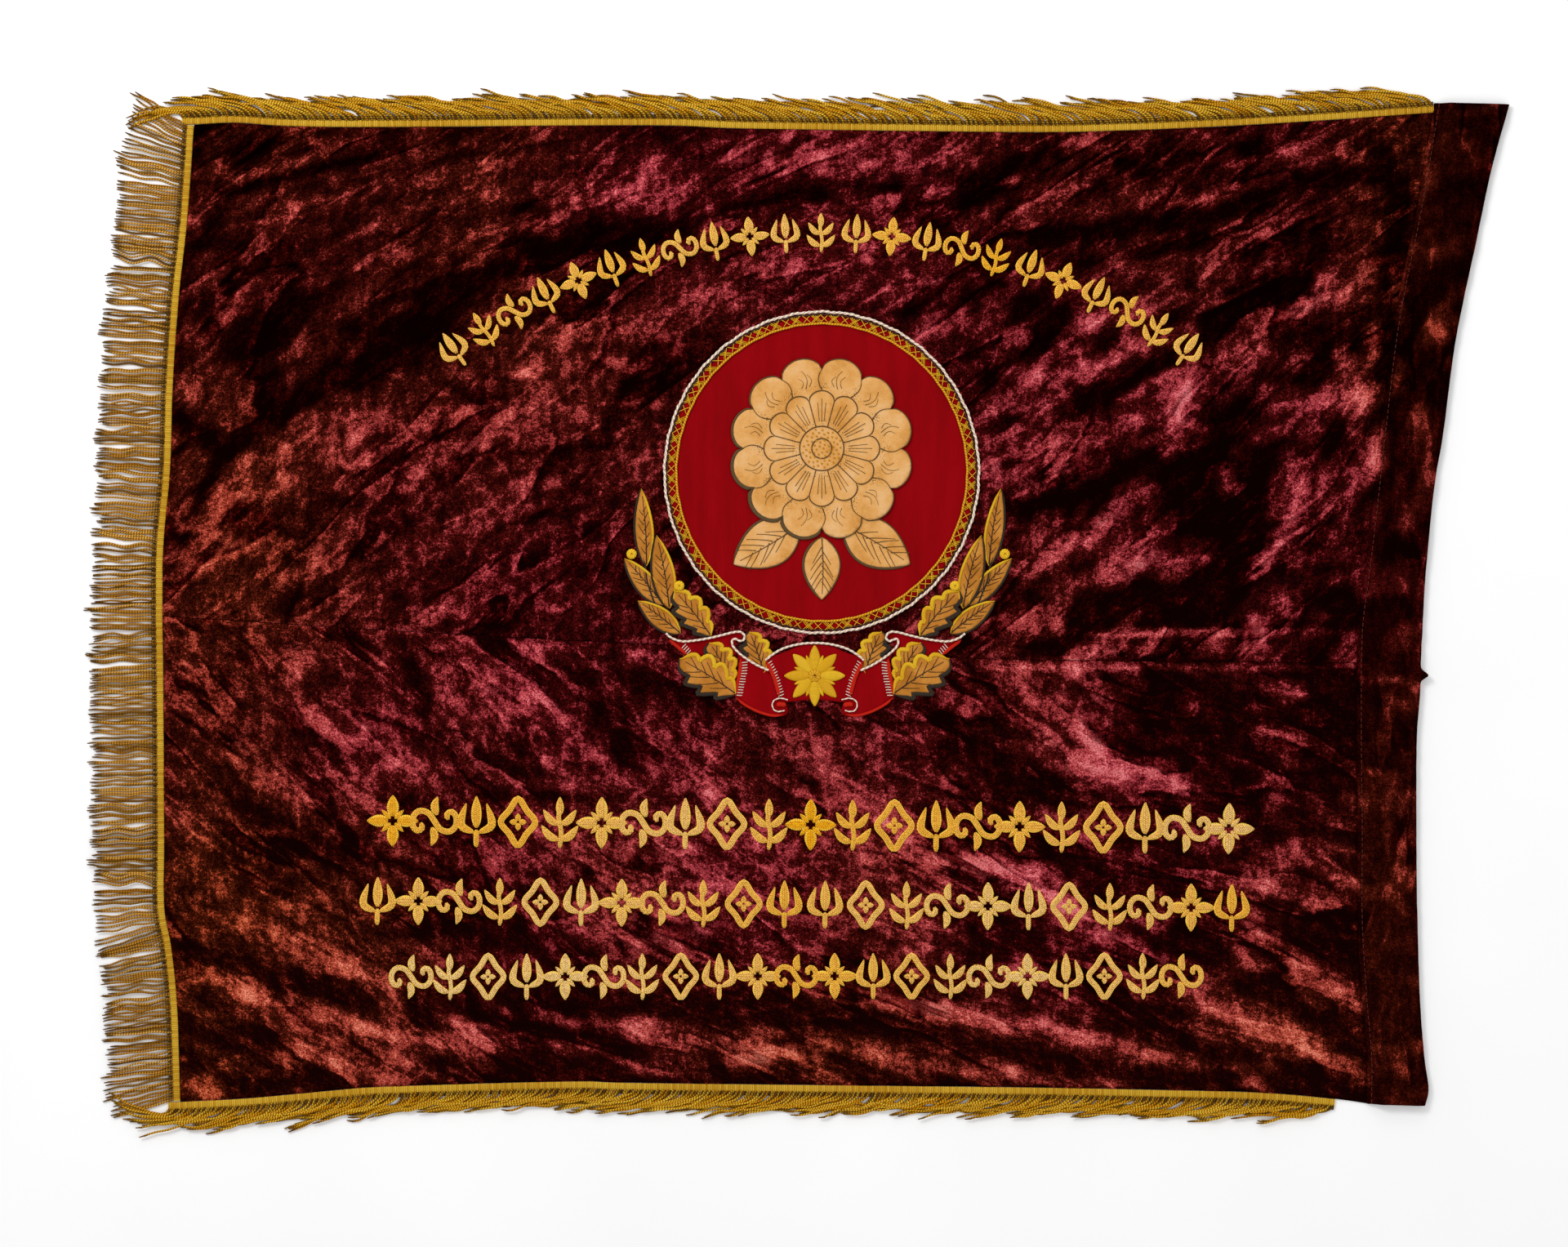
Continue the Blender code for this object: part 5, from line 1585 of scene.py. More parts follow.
def make_fringes(cloth: Cloth) -> None:
    """Makes the fringes of the top, fly and bottom edges."""
    corner = np.array([HEADING_WIDTH + 2 * SEWN_GAP, 0.0])
    gap = np.array([0.0, 1.5 * MM])
    top = Line(np.vstack([cloth.top.fine[:1] - corner, cloth.top.fine]))
    fly_points = cloth.fly.fine.copy()
    fly_points[0] += gap
    fly_points[-1] -= gap
    low = cloth.bottom.fine
    pole_end = cloth.bottom.at(BOTTOM_FRINGE_START)
    low = low[low[:, 0] < pole_end[0]]
    bottom = Line(np.vstack([[pole_end], low[::-1], low[:1] - corner]))
    top_leans = ((0.0, 107), (0.012, 93), (0.03, 86), (0.06, 79), (0.75, 76), (1.0, 80))
    fly_leans = ((0.0, 17), (0.03, 6), (0.10, 2), (0.90, 0), (0.96, -8), (1.0, -32))
    bottom_leans = ((0.0, 80), (0.5, 79), (0.90, 81), (0.975, 84), (0.99, 94), (1.0, 112))
    for fringe, cord in (
        (Fringe("fringe_top", top, 1, top_leans, 10, 2.2, 8, 0.05, True, 3), YELLOW_FRINGE),
        (Fringe("fringe_fly", Line(fly_points), 1, fly_leans, 0, 1.5, 7, 0.06, False, 5, 0.0), TAN_FRINGE),
        (Fringe("fringe_bottom", bottom, -1, bottom_leans, 10, 2.4, 8, 0.06, True, 8), YELLOW_FRINGE),
    ):
        fringe.make(cord)


# The emblem


POLE_SHIFT = in_tenths(-1310, 165, -600, 170, -300, 145, 50, 125, 650, 80, 1380, 16)
RIBBON_X = 0.0207
RIBBON_SQUEEZE = 0.875


def straight(points: Sequence) -> Array:
    """Plan points from points measured from the emblem's middle line."""
    return np.asarray(points, float) + (EMBLEM_X, 0.0)


class Side(Enum):
    """Which side of the emblem's middle line a piece lies on."""

    FLY = -1
    POLE = 1

    @property
    def word(self) -> str:
        """The side's word in piece names."""
        return self.name.lower()

    def place(self, points: Sequence) -> Array:
        """Plan points from points measured outwards from the middle. The pole side lies a little nearer."""
        spots = np.asarray(points, float)
        nearer = np.interp(spots[:, 1], *POLE_SHIFT.T) if self is Side.POLE else 0.0
        return np.column_stack([EMBLEM_X + self.value * (spots[:, 0] - nearer), spots[:, 1]])


class LeafKind(Enum):
    """The two kinds of leaf in the sprays."""

    LAUREL = "laurel"
    OAK = "oak"


LAUREL, OAK = LeafKind.LAUREL, LeafKind.OAK
OAK_LOBES = 4.0
OAK_LOBE_DEPTH = 0.48

TAIL_OUTLINE = in_mm(
    183, -34, 165, -42, 140, -40, 120, -35, 101, -30, 92, -32, 91, -39, 100, -42, 102, -50, 104, -60,
    150, -59, 170, -46,
)
SIDE_OUTLINE = in_tenths(
    995, -525, 940, -600, 800, -670, 630, -780, 550, -880, 475, -1050, 410, -1180, 410, -1280,
    520, -1310, 720, -1270, 900, -1160, 1015, -1060, 965, -950, 950, -780,
)
MIDDLE_HALF = in_tenths(
    0, -455, 200, -475, 400, -550, 660, -645, 560, -850, 470, -1040, 440, -1135, 200, -1125, 0, -1105,
)
TAIL_CORD = in_tenths(
    1830, -332, 1764, -386, 1644, -425, 1494, -416, 1314, -386, 1164, -350, 1044, -320, 960, -314,
    912, -350, 912, -398, 954, -422, 1014, -398, 1050, -410, 1050, -467, 1008, -527, 924, -602,
    774, -698, 624, -767,
)
MIDDLE_CORD = in_tenths(660, -647, 564, -578, 414, -506, 204, -458, 0, -445)
SIDE_SCARLET = in_tenths(948, -632, 960, -782, 990, -932, 1014, -1067)
SIDE_LOW = in_tenths(1008, -1082, 924, -1157, 804, -1226, 684, -1274, 564, -1298, 444, -1286)
MIDDLE_SCARLET = in_tenths(648, -662, 594, -767, 549, -872, 519, -977, 498, -1067)
TAIL_SCARLET = in_tenths(1794, -407, 1719, -467, 1629, -542, 1578, -587)
HATCH_SIDE = in_tenths(903, -656, 912, -782, 936, -902, 972, -1076)
HATCH_MIDDLE = in_tenths(624, -662, 564, -782, 525, -887, 498, -977, 474, -1076)
HATCH_TAIL = in_tenths(1629, -467, 1590, -518, 1554, -566)
ROLL = in_tenths(399, -1112, 489, -1094, 558, -1118, 582, -1172, 558, -1232, 504, -1250, 438, -1238)
ROLL_CORE = in_tenths(420, -1175, 495, -1165, 525, -1185)
STEM = in_tenths(2100, 562, 2073, 448, 2055, 298, 2010, 148, 1944, -2, 1809, -62, 1719, -182, 1659, -332)


def layer_height(layer: float) -> float:
    """The underside of an applied piece, over the velvet or over the layer under it."""
    return VELVET_THICK + SEWN_GAP + layer * LAYER_STEP


def cloth_relief(seed: int, height: float, span: float, lean: float = 0.0) -> Relief:
    """An uneven face for a cut piece.

    Args:
        seed: What its unevenness is drawn from.
        height: How far it rises and sinks.
        span: How far apart its puckers lie.
        lean: The way they run, in radians.

    Returns:
        The height at flat points, given also their distances to the rim.
    """
    chance = np.random.default_rng(seed)
    waves = []
    for number in range(7):
        turn = lean + chance.normal(0, 0.5)
        way = (math.cos(turn) / span, math.sin(turn) / span)
        waves.append((*way, chance.uniform(0, 6.28), 1 + 0.35 * number))

    def relief(points: Array, away: Array) -> Array:
        """Soft puckers that fade at the rim."""
        total = np.zeros(len(points))
        for across, up, phase, finer in waves:
            total += np.sin(2 * np.pi * finer * (points[:, 0] * across + points[:, 1] * up) + phase) / finer
        return height * total / 3

    return relief


@dataclass
class AppliedPiece:
    """A cut and sewn-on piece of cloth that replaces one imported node.

    Attributes:
        node: The node.
        outline: Its plan outline.
        layer: How many layers lie under it.
        slot: The record's material slot.
        pitch: How far apart the points of its mesh lie.
        relief: Its uneven face.
        tone: Its dye lot's tone.
        shade: Where its stippling shows.
    """

    node: str
    outline: Array
    layer: int
    slot: str
    pitch: float
    relief: Relief
    tone: float = 0.5
    shade: Relief | None = None

    def make(self, finish: Finish, word: str) -> None:
        """Makes the piece, named after its node and its cloth, in place of that node."""
        shape = Shape(f"{self.node}_{word}")
        low = layer_height(self.layer)
        shape.cut(self.outline, low, FELT_THICK, self.pitch, self.relief, self.tone, self.shade)
        piece = BENCH.lay(shape, finish, self.slot, [self.node])


def wound_dome(
    shape: Shape, spot: Array, radius: float, low: float, rise: float, turns: int, thread: float, tone: float,
) -> None:
    """Winds a thread round and up into a small dome.

    Args:
        shape: What it is added to.
        spot: The dome's middle.
        radius: The dome's radius.
        low: The height of its lowest turn.
        rise: How far its top lies over that.
        turns: How often the thread goes round.
        thread: The thread's radius.
        tone: The thread's tone.
    """
    share = np.linspace(0, 1, turns * 12)
    flat = around(spot, radius * np.sqrt(1 - 0.998 * share), 2 * np.pi * turns * share)
    shape.tube(flat, low + rise * np.sqrt(share), round_ring(thread, 5), tone)


def tapered(count: int, full: float, ends: float = 7.0, least: float = 0.25) -> Array:
    """Half widths that run out towards both ends of a band."""
    share = np.linspace(0, 1, count)
    return full * (least + (1 - least) * ease(np.minimum(share, 1 - share) * ends))


@dataclass
class Leaf:
    """One felt leaf with its satin edges and veins, measured outwards from the emblem's middle line."""

    name: str
    base: tuple[float, float]
    tip: tuple[float, float]
    width: float
    layer: int
    kind: LeafKind
    steps: int = 64

    def _profile(self, sign: int) -> Array:
        """Rows of (share along, share of the half width). An oak leaf has lobes or points on its sides."""
        share = np.linspace(0, 1, self.steps + 1)
        if self.kind is LAUREL:
            return np.stack([share, np.sin(np.pi * share**0.85) ** 0.80], -1)
        broad = np.sin(np.pi * share**0.98) ** 0.68
        place = (share * OAK_LOBES + (0.10 if sign > 0 else 0.0)) % 1.0
        scallop = np.sin(np.pi * place) ** 0.6
        point = np.where(place < 0.78, (place / 0.78) ** 0.9, (1.0 - place) / 0.22)
        lobe, depth = (scallop, 0.52) if sign > 0 else (point, OAK_LOBE_DEPTH)
        lean = (0.03 if sign > 0 else 0.055) * lobe * np.sin(np.pi * share)
        return np.stack([share + lean, broad * (1.06 - depth * (1 - lobe))], -1)

    def edge(self, sign: int, inset: float = 0.0) -> Array:
        """One side from base to tip: 1 is the side towards the medallion. inset draws it in."""
        base, tip = np.array(self.base), np.array(self.tip)
        along = tip - base
        aside = np.array([-along[1], along[0]]) / np.linalg.norm(along)
        profile = self._profile(sign)
        wide = np.maximum(profile[:, 1] * self.width / 2 - inset, 0.0)
        return base + along * profile[:, :1] + sign * aside * wide[:, None]

    def outline(self) -> Array:
        """Both sides, as a closed outline."""
        return np.vstack([self.edge(1), self.edge(-1)[-2:0:-1]])

    def stitch(self, place: Placing, gold: Shape, dark: Shape, veins: Shape) -> None:
        """Adds its bright and dark satin edges and its veins to the spray's stitches."""
        low = layer_height(self.layer)
        wide, band = (2.7 * MM, 2.5 * MM) if self.kind is OAK else (1.6 * MM, 1.3 * MM)
        uneven = 1 + 0.10 * np.array([wobble(number, len(self.name)) for number in range(self.steps + 1)])
        dark_path = place(self.edge(-1, -0.5 * band))
        rings = dome_rings(tapered(len(dark_path), band) * uneven, 1.7 * MM)
        dark.tube(dark_path, low + 0.1 * MM, rings, 0.4, by_width=True)
        gold_path = place(self.edge(1, 0.55 * wide))
        tone = 0.5 + 0.3 * np.sin(np.linspace(0, 9, len(gold_path)) + len(self.name))
        rings = dome_rings(tapered(len(gold_path), wide) * uneven, 2.0 * MM)
        gold.tube(gold_path, low + 0.3 * MM, rings, tone, by_width=True)
        self.vein(place, veins, low + FELT_THICK + 0.1 * MM)

    def vein(self, place: Placing, veins: Shape, height: float) -> None:
        """Adds a midrib and its side veins."""
        base, tip = np.array(self.base), np.array(self.tip)
        along = tip - base
        length = float(np.linalg.norm(along))
        ahead = along / length
        aside = np.array([-ahead[1], ahead[0]])
        shares = np.linspace(0.02, 0.9, 14)
        bend = 0.02 * length * np.sin(np.pi * shares)
        rib = base + along * shares[:, None] + aside * bend[:, None]
        radii = np.linspace(0.80, 0.42, 14) * MM
        veins.tube(place(rib), height, round_ring(radii, 5), 0.4)
        count = 5 if self.kind is LAUREL else 4
        for number in range(count):
            share = 0.16 + 0.62 * number / count
            for sign in (-1, 1):
                start = base + along * (share + 0.05 * (sign > 0))
                reach = 0.5 * self.width * math.sin(math.pi * (share + 0.12)) * 0.62
                turn = math.radians(38 + 6 * wobble(number, sign + len(self.name)))
                steps = np.linspace(0, 1, 5)[:, None]
                run = ahead * math.cos(turn) + sign * aside * math.sin(turn)
                path = start + steps * run * (reach / math.sin(turn)) + steps**2 * ahead * (0.25 * reach)
                small = np.linspace(0.60, 0.34, 5) * MM
                veins.tube(place(path), height, round_ring(small, 5), 0.4)


def leaves_of_spray() -> list[Leaf]:
    """The leaves of one spray."""
    rows = [
        ("laurel_a", 0.206, 0.046, 0.212, 0.137, 0.0215, 0, LAUREL),
        ("laurel_b", 0.179, -0.004, 0.194, 0.082, 0.0265, 1, LAUREL),
        ("laurel_c", 0.186, 0.000, 0.232, 0.055, 0.0240, 0, LAUREL),
        ("laurel_d", 0.166, -0.033, 0.216, 0.005, 0.0235, 0, LAUREL),
        ("oak_rear", 0.130, -0.036, 0.173, 0.017, 0.0350, 2, OAK),
        ("oak_lower", 0.101, -0.104, 0.167, -0.063, 0.0450, 2, OAK),
        ("oak_upper", 0.105, -0.091, 0.132, -0.044, 0.0350, 1, OAK),
        ("oak_small", 0.068, -0.080, 0.085, -0.031, 0.0330, 0, OAK),
    ]
    return [Leaf(name, (a, b), (c, d), width, layer, kind) for name, a, b, c, d, width, layer, kind in rows]


@dataclass
class Spray:
    """The laurel and oak leaves and the berries on one side of the emblem."""

    side: Side
    leaves: list[Leaf] = field(default_factory=leaves_of_spray)
    berries: tuple = (("berry_outer", 0.2235, 0.0600, 0), ("berry_inner", 0.1675, 0.0225, 3))
    berry_radius: float = 5.665 * MM

    def make(self) -> None:
        """Makes the leaves, their stitches and the berries."""
        word = self.side.word
        gold, dark, veins = (Shape(f"spray_{word}_{part}") for part in ("gold_edges", "dark_edges", "veins"))
        for number, leaf in enumerate(self.leaves):
            outline = self.side.place(leaf.outline())
            relief = cloth_relief(number + 11, 0.18 * MM, 16 * MM)
            node, tone = f"{leaf.name}_{word}", 0.3 + 0.06 * number
            cut = AppliedPiece(node, outline, leaf.layer, "gold_felt", 3.0 * MM, relief, tone)
            cut.make(LEAF_FELT, "felt")
            leaf.stitch(self.side.place, gold, dark, veins)
        stem = smooth_points(self.side.place(STEM), 6)
        rings = dome_rings(tapered(len(stem), 1.2 * MM), 1.4 * MM)
        dark.tube(stem, layer_height(0) + 0.1 * MM, rings, 0.4)
        BENCH.lay(gold, GOLD_SATIN, "gold_yarn")
        BENCH.lay(dark, DARK_SATIN, "gold_felt")
        BENCH.lay(veins, DARK_THREAD, "gold_felt")
        for name, out, y, layer in self.berries:
            berry = Shape(f"{name}_{word}_satin")
            spot, low = self.side.place([(out, y)])[0], layer_height(layer) + 0.6 * MM
            wound_dome(berry, spot, self.berry_radius, low, 2.0 * MM, 8, 0.75 * MM, 0.6)
            BENCH.lay(berry, BRIGHT_THREAD, "gold_yarn", [f"{name}_{word}"])


def oval(half_width: float, half_height: float, count: int, wave: float = 0.0, cycles: int = 37) -> Array:
    """The points of an oval round the medallion's middle, a little wavy if asked."""
    turn = full_turn(count)
    off = wave * (np.sin(cycles * turn) + 0.6 * np.sin((cycles * 2 - 9) * turn + 1))
    return np.stack([
        EMBLEM_X + (half_width + off) * np.cos(turn), MEDALLION_Y + (half_height + off) * np.sin(turn),
    ], -1)


@dataclass
class Medallion:
    """The crimson ground with its white and gold cords, the gold trellis between them, and a painted shadow
    line.

    Attributes:
        half_width: Half the ground's width.
        half_height: Half its height.
        edge_cord_radius: The white cord's radius.
        gold_cord_radius: The gold cord's radius.
        gold_cord_inset: How far inside the ground's rim the gold cord lies.
        trellis_cells: How often the trellis repeats.
        threads: The threads of one repeat: shares of it and of the band at both ends, and a radius in mm.
    """

    half_width: float = 0.1825
    half_height: float = 0.1865
    edge_cord_radius: float = 1.9 * MM
    gold_cord_radius: float = 1.4 * MM
    gold_cord_inset: float = 11.6 * MM
    trellis_cells: int = 48
    threads: tuple = (
        (0.00, 0.08, 0.42, 0.88, 0.42), (0.09, 0.06, 0.51, 0.86, 0.42), (0.18, 0.06, 0.60, 0.86, 0.42),
        (0.52, 0.06, 0.10, 0.88, 0.42), (0.61, 0.06, 0.19, 0.86, 0.40),
        (0.60, 0.08, 1.02, 0.88, 0.38), (1.04, 0.08, 0.62, 0.88, 0.38),
    )

    def _cord(
        self, name: str, out: float, radius: float, layer: int, lay: float, wave: float, plies: int,
    ) -> Shape:
        """A twisted cord laid round the ground, so far outside its edge."""
        count, groove = (1160, 0.34) if plies == 2 else (720, 0.16)
        path = oval(self.half_width + out, self.half_height + out, count, wave)
        girth = 2 * math.pi * self.half_width
        turns = 2 * np.pi * round(girth / lay) * np.arange(count) / count / plies
        shape = Shape(name)
        rings = plied_rings(radius, turns, 8, plies, groove)
        shape.tube(path, layer_height(layer) + radius, rings, 0.55, closed=True)
        return shape

    def _spot(self, share: float, across: float) -> Array:
        """A place in the border band: its share of the turn, and 0 at the gold cord to 1 at the rim."""
        out = -self.gold_cord_inset * (1 - across) + 0.3 * MM * across
        turn = 2 * math.pi * share
        half = np.array([self.half_width, self.half_height]) + out
        return np.array([EMBLEM_X, MEDALLION_Y]) + half * (math.cos(turn), math.sin(turn))

    def _trellis(self) -> Shape:
        """Gold threads sewn to and fro between the two cords, in threes and pairs that cross."""
        shape = Shape("medallion_trellis")
        low = layer_height(1) + 0.1 * MM
        for cell in range(self.trellis_cells):
            start = cell / self.trellis_cells
            width = 1 / self.trellis_cells
            uneven = 0.07 * wobble(cell, 2)
            for number, (a, b, c, d, radius) in enumerate(self.threads):
                shares = np.linspace(0, 1, 4)
                flat = [
                    self._spot(start + width * (a + (c - a) * s + uneven), b + (d - b) * s) for s in shares
                ]
                height = low + (0.4 + 0.8 * (number % 2)) * MM + 0.3 * MM * np.sin(np.pi * shares)
                shape.tube(np.array(flat), height, round_ring(radius * MM, 5), 0.35 + 0.1 * number)
        return shape

    def make(self) -> None:
        """Makes the ground, its cords, the white cord's painted shadow line and the trellis."""
        ground = AppliedPiece(
            "medallion_ground", oval(self.half_width, self.half_height, 224), 0, "red_satin", 5.0 * MM,
            cloth_relief(4, 0.16 * MM, 26 * MM, 0.1),
        )
        ground.make(SATEEN, "sateen")
        out = self.edge_cord_radius + SEWN_GAP
        white = self._cord("medallion_cord_twist", out, self.edge_cord_radius, 0, 7 * MM, 0.35 * MM, 2)
        BENCH.lay(white, WHITE_CORD, "white_cord", ["medallion_cord"])
        inner = self._cord(
            "medallion_braid_twist", -self.gold_cord_inset, self.gold_cord_radius, 1, 4 * MM, 0.2 * MM, 1,
        )
        BENCH.lay(inner, GOLD_CORD, "gold_yarn", ["medallion_braid"])
        # Painted shadow: a dark thread just inside the white cord, where the cord's shade falls on the
        # ground.
        rim = self._cord("medallion_cord_shadow_line", -1.3 * MM, 0.8 * MM, 1, 3 * MM, 0.1 * MM, 1)
        BENCH.lay(rim, DARK_THREAD, "gold_felt")
        BENCH.lay(self._trellis(), BRIGHT_THREAD, "gold_yarn")


def petals(
    centre: Sequence[float], radius: float, count: int, notch: float, steps: int, turn: float = 0.0,
) -> Array:
    """The outline of a round flower head: petal ends with notches between them."""
    angle = full_turn(count * steps)
    swell = np.abs(np.sin(count * (angle - turn) / 2)) ** 0.55
    return clockwise(centre, radius - notch * (1 - swell), angle)


@dataclass
class Blossom:
    """A generic felt flower head with three leaves, with brown stem stitch and stippled shading."""

    lift: float = 0.028
    radius: float = 0.108
    count: int = 12
    notch: float = 15 * MM
    inner_radius: float = 0.068
    eye_radius: float = 0.026

    @property
    def centre(self) -> Array:
        """The middle of the head."""
        return np.array([EMBLEM_X, MEDALLION_Y + self.lift])

    def _leaves(self) -> list[Leaf]:
        """The three leaves under the head."""
        return [
            Leaf("blossom_leaf_fly", (-0.026, 0.094), (-0.104, 0.048), 0.056, 1, LAUREL),
            Leaf("blossom_leaf_pole", (0.026, 0.094), (0.104, 0.048), 0.056, 1, LAUREL),
            Leaf("blossom_leaf_low", (0.0, 0.080), (0.0, 0.006), 0.044, 1, LAUREL),
        ]

    def _shade(self, points: Array, away: Array) -> Array:
        """Stippling: round the eye, behind the inner petals' tips and along the lower rim."""
        offset = points - self.centre
        reach = np.hypot(offset[:, 0], offset[:, 1])
        angle = np.arctan2(offset[:, 0], offset[:, 1])
        ring = 0.55 * np.exp(-(((reach - self.eye_radius - 5 * MM) / (8 * MM)) ** 2))
        behind = 0.40 * np.exp(-(((reach - self.inner_radius - 4 * MM) / (7 * MM)) ** 2))
        seam = 0.35 * np.abs(np.cos(self.count * angle / 2)) ** 8 * (reach > self.inner_radius)
        return np.clip(ring + behind + seam, 0, 0.8)

    def _rays(self, stitches: Shape, height: float) -> None:
        """Stem-stitch lines between the petals, and a finer pair on each petal."""
        for number in range(self.count):
            angle = 2 * math.pi * number / self.count
            for offset, start, end, radius in (
                (0.0, self.inner_radius + 1 * MM, self.radius - self.notch, 0.70),
                (0.5, self.inner_radius + 4 * MM, self.radius - 14 * MM, 0.38),
                (0.38, self.inner_radius + 6 * MM, self.radius - 22 * MM, 0.34),
                (0.62, self.inner_radius + 6 * MM, self.radius - 20 * MM, 0.34),
            ):
                turn = angle + offset * 2 * math.pi / self.count
                shares = np.linspace(0, 1, 8)
                reach = start + (end - start) * shares
                bend = turn + 0.05 * np.sin(np.pi * shares) * (1 if number % 2 else -1)
                radii = np.linspace(radius, 0.6 * radius, 8) * MM
                flat = clockwise(self.centre, reach, bend)
                stitches.tube(flat, height, round_ring(radii, 5), 0.4)

    def _inner_head(self, stitches: Shape, height: float) -> None:
        """The outline of the inner petals and their lines."""
        turn = math.pi / self.count
        line = petals(self.centre, self.inner_radius, self.count, 11 * MM, 16, turn)
        stitches.tube(line, height, round_ring(0.75 * MM), 0.35, closed=True)
        lines = ((0.0, 0.0, 11.5), (0.5, 5.0, 9.0), (0.33, 6.0, 14.0), (0.67, 6.0, 14.0))
        for number in range(self.count):
            angle = 2 * math.pi * number / self.count + turn
            for offset, start, end in lines:
                way = angle + offset * 2 * math.pi / self.count
                reach = np.linspace(self.eye_radius + start * MM, self.inner_radius - end * MM, 6)
                flat = clockwise(self.centre, reach, way)
                radius = 0.6 if offset == 0.0 else 0.34
                stitches.tube(flat, height, round_ring(radius * MM, 5), 0.4)

    def _eye(self, stitches: Shape, knots: Shape, height: float) -> None:
        """The eye: two stitched rings filled with small wound knots."""
        for reach in (self.eye_radius, 0.45 * self.eye_radius):
            line = around(self.centre, reach, full_turn(72))
            stitches.tube(line, height, round_ring(0.75 * MM), 0.35, closed=True)
        for number in range(64):
            reach = (self.eye_radius - 2.4 * MM) * math.sqrt((number + 0.5) / 64)
            spot = around(self.centre, reach, number * GOLDEN_ANGLE)
            share = np.linspace(0, 1, 16)
            flat = around(spot, 0.95 * MM * (1 - 0.8 * share), 4 * np.pi * share)
            tone = 0.2 + 0.5 * (number % 3) / 2
            knots.tube(flat, height + 0.8 * MM * share, round_ring(0.5 * MM, 5), tone)

    def make(self) -> None:
        """Makes the head, its leaves and their stitches."""
        parts = ("stem_stitch", "shadow_band", "knots")
        stitches, shadow, knots = (Shape(f"blossom_{part}") for part in parts)
        for number, leaf in enumerate(self._leaves()):
            relief = cloth_relief(30 + number, 0.2 * MM, 22 * MM)
            AppliedPiece(
                leaf.name, straight(leaf.outline()), leaf.layer, "sand_felt", 3.5 * MM, relief,
                shade=lambda points, away: 0.35 * np.exp(-((away / (5 * MM)) ** 2)),
            ).make(SAND_FELT, "felt")
            leaf.vein(straight, stitches, layer_height(leaf.layer) + FELT_THICK + 0.2 * MM)
            for sign, wide in ((1, 0.8), (-1, 1.6)):
                path = straight(leaf.edge(sign, 0.3 * MM))
                rings = dome_rings(tapered(len(path), wide * MM), 1.5 * MM)
                shadow.tube(path, layer_height(leaf.layer) + 0.1 * MM, rings, 0.3, by_width=True)
        outline = petals(self.centre, self.radius, self.count, self.notch, 16)
        relief = cloth_relief(9, 0.28 * MM, 34 * MM)
        head = AppliedPiece("blossom", outline, 2, "sand_felt", 3.5 * MM, relief, shade=self._shade)
        head.make(SAND_FELT, "felt")
        height = layer_height(2) + FELT_THICK + 0.25 * MM
        self._rays(stitches, height)
        self._inner_head(stitches, height)
        self._eye(stitches, knots, height)
        angle = np.arctan2(outline[:, 0] - self.centre[0], outline[:, 1] - self.centre[1])
        lower = np.exp(-(((np.abs(angle + 0.75 * np.pi) % (2 * np.pi)) / 1.25) ** 2))
        rings = dome_rings((0.55 + 2.0 * lower) * MM, 1.45 * MM)
        shadow.tube(outline, layer_height(2) + 0.1 * MM, rings, 0.3, closed=True, by_width=True)
        BENCH.lay(stitches, BROWN_THREAD, "sand_felt")
        BENCH.lay(shadow, BROWN_SATIN, "sand_felt")
        BENCH.lay(knots, GOLD_CORD, "gold_yarn")


